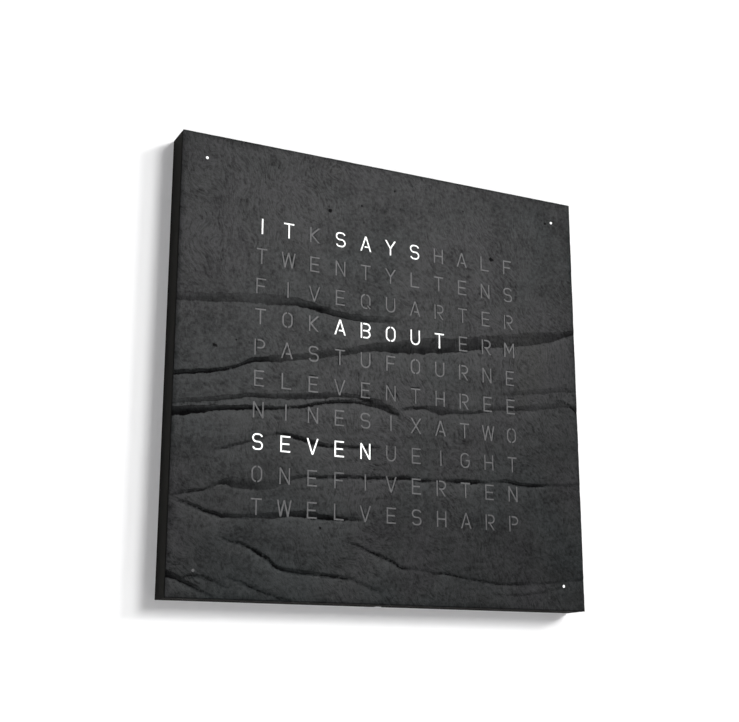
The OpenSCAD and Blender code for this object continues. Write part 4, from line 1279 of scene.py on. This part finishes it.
    def _steps(self, column: Sequence[tuple[float, float, float, float]], top: float) -> float:
        """Returns how far back the clefts put a point, in millimetres.

        Args:
            column: The clefts met at the point's column.
            top: Distance from the face's top edge, in millimetres.

        Returns:
            The depth, 0 or more.
        """
        back = 0.0
        for upper, foot, depth, drop in column:
            if upper < top <= foot:
                share = ((top - upper) / max(foot - upper, 0.1)) ** 1.3
            elif foot < top < foot + self.recover:
                share = (1 - (top - foot) / self.recover) ** 1.6 * 0.82
            else:
                continue
            back = max(back, drop * depth * share)
        return back

    @staticmethod
    def _cutters(front: float) -> list[bpy.types.Object]:
        """Returns the letters' fillings, drawn out past the slate's surface, as cutters.

        Args:
            front: Depth of the slate's foremost surface, in metres.

        Returns:
            The cutters.
        """
        made = []
        for node in ("lit_letters", "unlit_letters", "lit_dots", "unlit_dot"):
            bm = merged_copy(node)
            for vert in bm.verts:
                if vert.co.y < front + 1.0 * MM:
                    vert.co.y = front - 1.0 * MM
            made.append(new_piece("cutter", bm))
        return made


@dataclass
class EasedRails:
    """The case's four rails with their edges eased before lacquering.

    Attributes:
        radius: Radius of the eased edges, in millimetres.
    """

    radius: float = 0.45

    def build(self, wardrobe: Wardrobe) -> None:
        """Builds the four rails in place of their nodes.

        Args:
            wardrobe: Gives the finish.
        """
        for node in ("top_rail", "bottom_rail", "left_rail", "right_rail"):
            bm = merged_copy(node)
            bmesh.ops.dissolve_limit(bm, angle_limit=math.radians(0.5), verts=bm.verts, edges=bm.edges)
            edges = [e for e in bm.edges if self._outer(e)]
            bmesh.ops.bevel(bm, geom=edges, offset=self.radius * MM, segments=3, profile=0.5,
                            affect="EDGES", material=-1, clamp_overlap=True)
            rail = new_piece("eased_" + node, bm)
            round_off(rail, 30)
            wardrobe.wear(rail, "case_lacquer")
            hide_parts(node)
            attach(rail, "case")
            log.info("%s: %d eased edges", node, len(edges))

    @staticmethod
    def _outer(edge: bmesh.types.BMEdge) -> bool:
        """Tells a long outer edge at the case's front or back from every other edge.

        Args:
            edge: The edge.

        Returns:
            Whether it is eased.
        """
        if edge.calc_length() < 30 * MM or len(edge.link_faces) != 2:
            return False
        half = (CAD_BOX[1] - CAD_BOX[0]).x / 2 - 0.01 * MM
        return all(max(abs(v.co.x), abs(v.co.z)) > half for v in edge.verts) and (
            edge.calc_face_angle(0.0) > math.radians(60))


@dataclass
class PushButton:
    """A push button: a flange inside the case and a dished, rounded cap.

    Attributes:
        name: Its node and the first word of its body.
        round: Radius of the cap's rounded rim, in millimetres.
        dish: Depth of the finger dish, in millimetres.
    """

    name: str
    round: float = 0.7
    dish: float = 0.35

    def build(self, wardrobe: Wardrobe) -> bpy.types.Object:
        """Spins the button's outline about its axis and puts it in place of its node.

        Args:
            wardrobe: Gives the finish.

        Returns:
            The piece.
        """
        low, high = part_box(f"{self.name}_button")
        middle = (low + high) / 2
        flange = (high.z - low.z) / 2
        cap = flange - 1.5 * MM
        inner, step, outer = low.x, low.x + 1.2 * MM, high.x
        outline = [(inner, 0.0), (inner, flange - 0.2 * MM), (inner + 0.2 * MM, flange),
                   (step - 0.2 * MM, flange), (step, flange - 0.2 * MM), (step, cap)]
        for i in range(7):
            turn = math.radians(90 * i / 6)
            outline.append((outer - self.round * MM * (1 - math.sin(turn)),
                            cap - self.round * MM * (1 - math.cos(turn))))
        for share in (0.62, 0.4, 0.2):
            outline.append((outer - self.dish * MM * (1 - (share / 0.8) ** 2), cap * share))
        outline.append((outer - self.dish * MM, 0.0))
        bm = bmesh.new()
        verts = [bm.verts.new((x, middle.y + r, middle.z)) for x, r in outline]
        edges = [bm.edges.new(pair) for pair in zip(verts, verts[1:])]
        bmesh.ops.spin(bm, geom=verts + edges, cent=(0, middle.y, middle.z), axis=(1, 0, 0),
                       angle=math.tau, steps=48, use_merge=True)
        bmesh.ops.remove_doubles(bm, verts=bm.verts, dist=1e-6)
        bmesh.ops.recalc_face_normals(bm, faces=bm.faces)
        cap_piece = new_piece(f"{self.name}_cap", bm)
        round_off(cap_piece, 40)
        wardrobe.wear(cap_piece, "button_plastic")
        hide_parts(f"{self.name}_button")
        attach(cap_piece, f"{self.name}_key")
        log.info("%s button", self.name)
        return cap_piece


@dataclass
class CrossScrews:
    """A set of screws with a cross recess in each head.

    Attributes:
        node: The screws' node.
        body: The body they belong to.
        outward: Sign of the heads' direction along Y.
        arm: Length of the recess's arms from end to end, in millimetres.
        blade: Width of an arm, in millimetres.
        deep: Depth of the recess, in millimetres.
    """

    node: str
    outward: int
    body: str = "case"
    arm: float = 3.0
    blade: float = 0.75
    deep: float = 1.0

    def build(self, wardrobe: Wardrobe) -> bpy.types.Object:
        """Cuts the recesses into a copy of the node and puts it in the node's place.

        Args:
            wardrobe: Gives the finish.

        Returns:
            The piece.
        """
        bm = merged_copy(self.node)
        cutter = bmesh.new()
        for group in islands(bm):
            level = max(v.co.y * self.outward for v in group) * self.outward
            xs, zs = [v.co.x for v in group], [v.co.z for v in group]
            centre = Vector(((min(xs) + max(xs)) / 2, level, (min(zs) + max(zs)) / 2))
            for turn in (20.0, 110.0):
                block = bmesh.ops.create_cube(cutter, size=1.0)["verts"]
                size = Matrix.Diagonal(mm(self.arm, 2 * self.deep, self.blade)).to_4x4()
                spin = Matrix.Rotation(math.radians(turn), 4, "Y")
                bmesh.ops.transform(cutter, verts=block, matrix=Matrix.Translation(centre) @ spin @ size)
        screws = new_piece("cross_" + self.node, bm)
        arms = new_piece("arms", cutter)
        self._cut(screws, arms)
        round_off(screws, 30)
        wardrobe.wear(screws, "zinc_steel")
        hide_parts(self.node)
        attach(screws, self.body)
        log.info("%s with cross recesses", self.node)
        return screws

    @staticmethod
    def _cut(screws: bpy.types.Object, arms: bpy.types.Object) -> None:
        """Cuts the crossing arms, which overlap, out of the heads.

        Args:
            screws: The screws.
            arms: The crosses that are cut out.
        """
        cut = screws.modifiers.new("cut", "BOOLEAN")
        cut.operation, cut.solver, cut.use_self = "DIFFERENCE", "EXACT", True
        cut.object = arms
        graph = bpy.context.evaluated_depsgraph_get()
        mesh = bpy.data.meshes.new_from_object(screws.evaluated_get(graph))
        screws.modifiers.clear()
        screws.data = mesh
        bpy.data.objects.remove(arms)


@dataclass
class Winding:
    """The aerial's winding, turn beside turn.

    Attributes:
        wire: Thickness of the wire, in millimetres.
        fit: Gap between the winding and the rod, in millimetres.
    """

    wire: float = 0.5
    fit: float = 0.1

    def build(self, wardrobe: Wardrobe) -> bpy.types.Object:
        """Spins a row of turns about the rod and puts it in place of its node.

        Args:
            wardrobe: Gives the finish.

        Returns:
            The piece.
        """
        low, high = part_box("antenna_coil")
        rod_low, rod_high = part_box("antenna_rod")
        middle = (low + high) / 2
        outer = (high.z - low.z) / 2
        inner = (rod_high.z - rod_low.z) / 2 + self.fit * MM
        turns = round((high.x - low.x) / (self.wire * MM))
        pitch = (high.x - low.x) / turns
        outline = []
        for i in range(turns):
            for j in range(5):
                bulge = math.sin(math.pi * j / 5)
                outline.append((low.x + (i + j / 5) * pitch, outer - self.wire * MM * 0.5 * (1 - bulge)))
        outline += [(high.x, outer - self.wire * MM * 0.5), (high.x, inner), (low.x, inner)]
        bm = bmesh.new()
        verts = [bm.verts.new((x, middle.y + r, middle.z)) for x, r in outline]
        edges = [bm.edges.new(pair) for pair in zip(verts, verts[1:] + verts[:1])]
        bmesh.ops.spin(bm, geom=verts + edges, cent=(0, middle.y, middle.z), axis=(1, 0, 0),
                       angle=math.tau, steps=40, use_merge=True)
        bmesh.ops.recalc_face_normals(bm, faces=bm.faces)
        coil = new_piece("wound_coil", bm)
        round_off(coil, 60)
        wardrobe.wear(coil, "copper_winding")
        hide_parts("antenna_coil")
        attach(coil, "case")
        log.info("aerial winding of %d turns", turns)
        return coil


@dataclass
class ChipLegs:
    """Tinned legs along two sides of a chip.

    Attributes:
        node: The chip's node.
        pitch: Distance between legs, in millimetres.
        reach: How far the legs stand out from the body, in millimetres.
    """

    node: str
    pitch: float = 1.27
    reach: float = 1.1

    def build(self, wardrobe: Wardrobe) -> bpy.types.Object:
        """Builds the legs from bent strips beside the chip.

        Args:
            wardrobe: Gives the finish.

        Returns:
            The legs.
        """
        low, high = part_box(self.node)
        bm = bmesh.new()
        count = int((high.x - low.x) / (self.pitch * MM))
        for side, edge in ((-1, low.z), (1, high.z)):
            for i in range(count):
                x = (low.x + high.x) / 2 + (i - (count - 1) / 2) * self.pitch * MM
                self._leg(bm, x, edge, side, high.y, low.y)
        bmesh.ops.recalc_face_normals(bm, faces=bm.faces)
        legs = new_piece(self.node + "_legs", bm)
        wardrobe.wear(legs, "zinc_steel")
        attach(legs, "case")
        log.info("%s: %d legs", self.node, 2 * count)
        return legs

    def _leg(self, bm: bmesh.types.BMesh, x: float, edge: float, side: int, board: float,
             top: float) -> None:
        """Adds one leg: out of the body, down, and along the board.

        Args:
            bm: The mesh that takes the leg.
            x: The leg's place along the chip.
            edge: The side of the body.
            side: Sign of the way out along Z.
            board: Depth of the board's surface.
            top: Depth of the chip's upper surface.
        """
        thick, wide = 0.2 * MM, 0.42 * MM
        mid, out = (board + top) / 2, self.reach * MM
        root, bend = -0.1 * MM, out * 0.5
        outline = ((mid - thick / 2, root), (mid - thick / 2, bend), (board - thick, bend),
                   (board - thick, out), (board, out), (board, bend - thick),
                   (mid + thick / 2, bend - thick), (mid + thick / 2, root))
        side_on = bm.faces.new([bm.verts.new((x - wide / 2, y, edge + side * z)) for y, z in outline])
        grown = bmesh.ops.extrude_face_region(bm, geom=[side_on])["geom"]
        moved = [g for g in grown if isinstance(g, bmesh.types.BMVert)]
        bmesh.ops.translate(bm, verts=moved, vec=(wide, 0, 0))


# ---- Stage ----


@dataclass(frozen=True)
class Lamp:
    """One far lamp.

    Attributes:
        name: Its name.
        way: Direction from the clock to the lamp.
        strength: Its strength.
        size: The angle it fills, in degrees.
        mirrored: Whether the lamp itself shows in glossy surfaces.
    """

    name: str
    way: tuple[float, float, float]
    strength: float
    size: float
    mirrored: bool = True


@dataclass
class Studio:
    """The white wall, the floor, the lamps and the camera.

    Attributes:
        wall: Half the wall's width and height, in metres.
        floor_at: Height of the floor, in metres.
        opening: Half the side of the wall's hole, hidden behind the clock, which lets light
            reach the clock's back.
        lamps: The lamps; the first two throw their own shadows on the wall, and the third
            lights the back alone.
        sky: Strength of the light from all round.
        wall_glow: What the wall adds for the camera alone.
    """

    wall: float = 2.2
    floor_at: float = -1.3
    opening: float = 0.2245
    lamps: tuple[Lamp, ...] = (Lamp("near_lamp", (0.46, -1.0, 0.38), 2.2, 20.0),
                               Lamp("far_lamp", (1.02, -1.0, 0.57), 1.3, 10.0, False),
                               Lamp("rear_lamp", (0.35, 1.0, 0.55), 2.4, 20.0))
    sky: float = 0.14
    wall_glow: float = 0.23

    def build(self) -> None:
        """Sets up everything that isn't part of the clock."""
        self._hang_wall()
        self._lay_floor()
        self._light()
        self._place_camera()
        bpy.context.scene.view_settings.view_transform = "Standard"
        log.info("stage is set")

    @staticmethod
    def _sheet(name: str, bm: bmesh.types.BMesh, material: bpy.types.Material) -> None:
        """Adds one painted sheet of the stage.

        Args:
            name: Its name.
            bm: The mesh.
            material: Its material.
        """
        sheet = new_piece(name, bm)
        sheet.data.materials.append(material)

    @staticmethod
    def _paint(name: str, pale: float, glow: float) -> bpy.types.Material:
        """Makes the stage's paint: pale, plus a glow that the camera alone sees.

        Args:
            name: The material's name.
            pale: How pale the paint is, from 0 to 1.
            glow: Strength of what the camera sees beyond the lamps' light.

        Returns:
            The paint, which is clear from behind.
        """
        r = Recipe(name)
        path = r.node("ShaderNodeLightPath", {}, {})
        seen = Value(r, path.outputs["Is Camera Ray"])
        back = r.node("ShaderNodeNewGeometry", {}, {}).outputs["Backfacing"]
        tooth = r.cloud(r.place(), 260, 3, 0.5)
        white = r.mix(tooth * 0.03, (pale,) * 3, (pale * 0.9,) * 3)
        matt = r.node("ShaderNodeBsdfDiffuse", {}, {"Color": white}).outputs[0]
        lamp = r.node("ShaderNodeEmission", {}, {
            "Color": (0.985, 0.98, 1.0, 1.0), "Strength": seen * glow}).outputs[0]
        front = r.node("ShaderNodeAddShader", {}, {0: matt, 1: lamp}).outputs[0]
        clear = r.node("ShaderNodeBsdfTransparent", {}, {}).outputs[0]
        return r.done(r.node("ShaderNodeMixShader", {}, {0: back, 1: front, 2: clear}).outputs[0])

    def _hang_wall(self) -> None:
        """Hangs the wall just behind the clock's back, facing the viewer, with its hole."""
        depth = CAD_BOX[1].y + 0.4 * MM
        centre = self.floor_at + self.wall
        bm = bmesh.new()
        outer = [bm.verts.new((x * self.wall, depth, centre + z * self.wall)) for x, z in CORNERS]
        inner = [bm.verts.new((x * self.opening, depth, z * self.opening)) for x, z in CORNERS]
        for i in range(4):
            j = (i + 1) % 4
            bm.faces.new((outer[i], outer[j], inner[j], inner[i]))
        self._sheet("wall", bm, self._paint("wall_paint", 0.80, self.wall_glow))

    def _lay_floor(self) -> None:
        """Lays the pale floor well below the clock, up to the wall."""
        bm = bmesh.new()
        bmesh.ops.create_grid(bm, x_segments=1, y_segments=1, size=self.wall)
        at = Vector((0, CAD_BOX[1].y - self.wall, self.floor_at))
        bmesh.ops.translate(bm, verts=bm.verts, vec=at)
        self._sheet("floor", bm, self._paint("floor_paint", 0.62, 0.3))

    def _light(self) -> None:
        """Adds the lamps and the even light, white where it is seen or mirrored."""
        for lamp in self.lamps:
            data = bpy.data.lights.new(lamp.name, "SUN")
            data.energy = lamp.strength
            data.angle = math.radians(lamp.size)
            hung = bpy.data.objects.new(lamp.name, data)
            hung.visible_glossy = lamp.mirrored
            way = Vector(lamp.way).normalized()
            hung.rotation_mode = "QUATERNION"
            hung.rotation_quaternion = way.to_track_quat("Z", "Y")
            hung.location = way * 3
            bpy.context.scene.collection.objects.link(hung)
        world = bpy.data.worlds.new("even_light")
        world.use_nodes = True
        bpy.context.scene.world = world
        r = Recipe("even_light", world.node_tree)
        path = r.node("ShaderNodeLightPath", {}, {})
        seen = (Value(r, path.outputs["Is Camera Ray"]) + Value(r, path.outputs["Is Glossy Ray"])
                + Value(r, path.outputs["Is Transmission Ray"])).held()
        strength = seen * (1.0 - self.sky) + self.sky
        sky = r.node("ShaderNodeBackground", {}, {"Color": (1.0, 1.0, 1.0, 1.0), "Strength": strength})
        r.node("ShaderNodeOutputWorld", {}, {"Surface": sky.outputs[0]})

    def _place_camera(self) -> None:
        """Puts the camera where the photograph was taken from."""
        data = bpy.data.cameras.new("camera")
        data.sensor_width = 36.0
        data.lens = 62.65
        data.shift_x, data.shift_y = -0.03, 0.015
        data.clip_end = 50.0
        camera = bpy.data.objects.new("camera", data)
        yaw, pitch, roll = (math.radians(a) for a in (26.849, 14.335, -0.18))
        ahead = Vector((math.sin(yaw) * math.cos(pitch), math.cos(yaw) * math.cos(pitch),
                        math.sin(pitch)))
        camera.rotation_mode = "QUATERNION"
        level = ahead.to_track_quat("-Z", "Y")
        camera.rotation_quaternion = (Matrix.Rotation(roll, 3, -ahead)
                                      @ level.to_matrix()).to_quaternion()
        camera.location = mm(-566.0, -1119.7 + CAD_BOX[0].y / MM, -314.2)
        bpy.context.scene.collection.objects.link(camera)
        bpy.context.scene.camera = camera


def main() -> None:
    """Builds the looks in order."""
    Studio().build()
    wardrobe = Wardrobe()
    wardrobe.dress_frame()
    SlatePlate().build(wardrobe)
    EasedRails().build(wardrobe)
    for name in ("hour", "minute", "mode"):
        PushButton(name).build(wardrobe)
    CrossScrews("panel_screws", 1).build(wardrobe)
    CrossScrews("grid_screws", -1).build(wardrobe)
    CrossScrews("control_screws", -1).build(wardrobe)
    Winding().build(wardrobe)
    for node in ("microcontroller", "clock_chip"):
        ChipLegs(node).build(wardrobe)


if __name__ == "__main__":
    main()
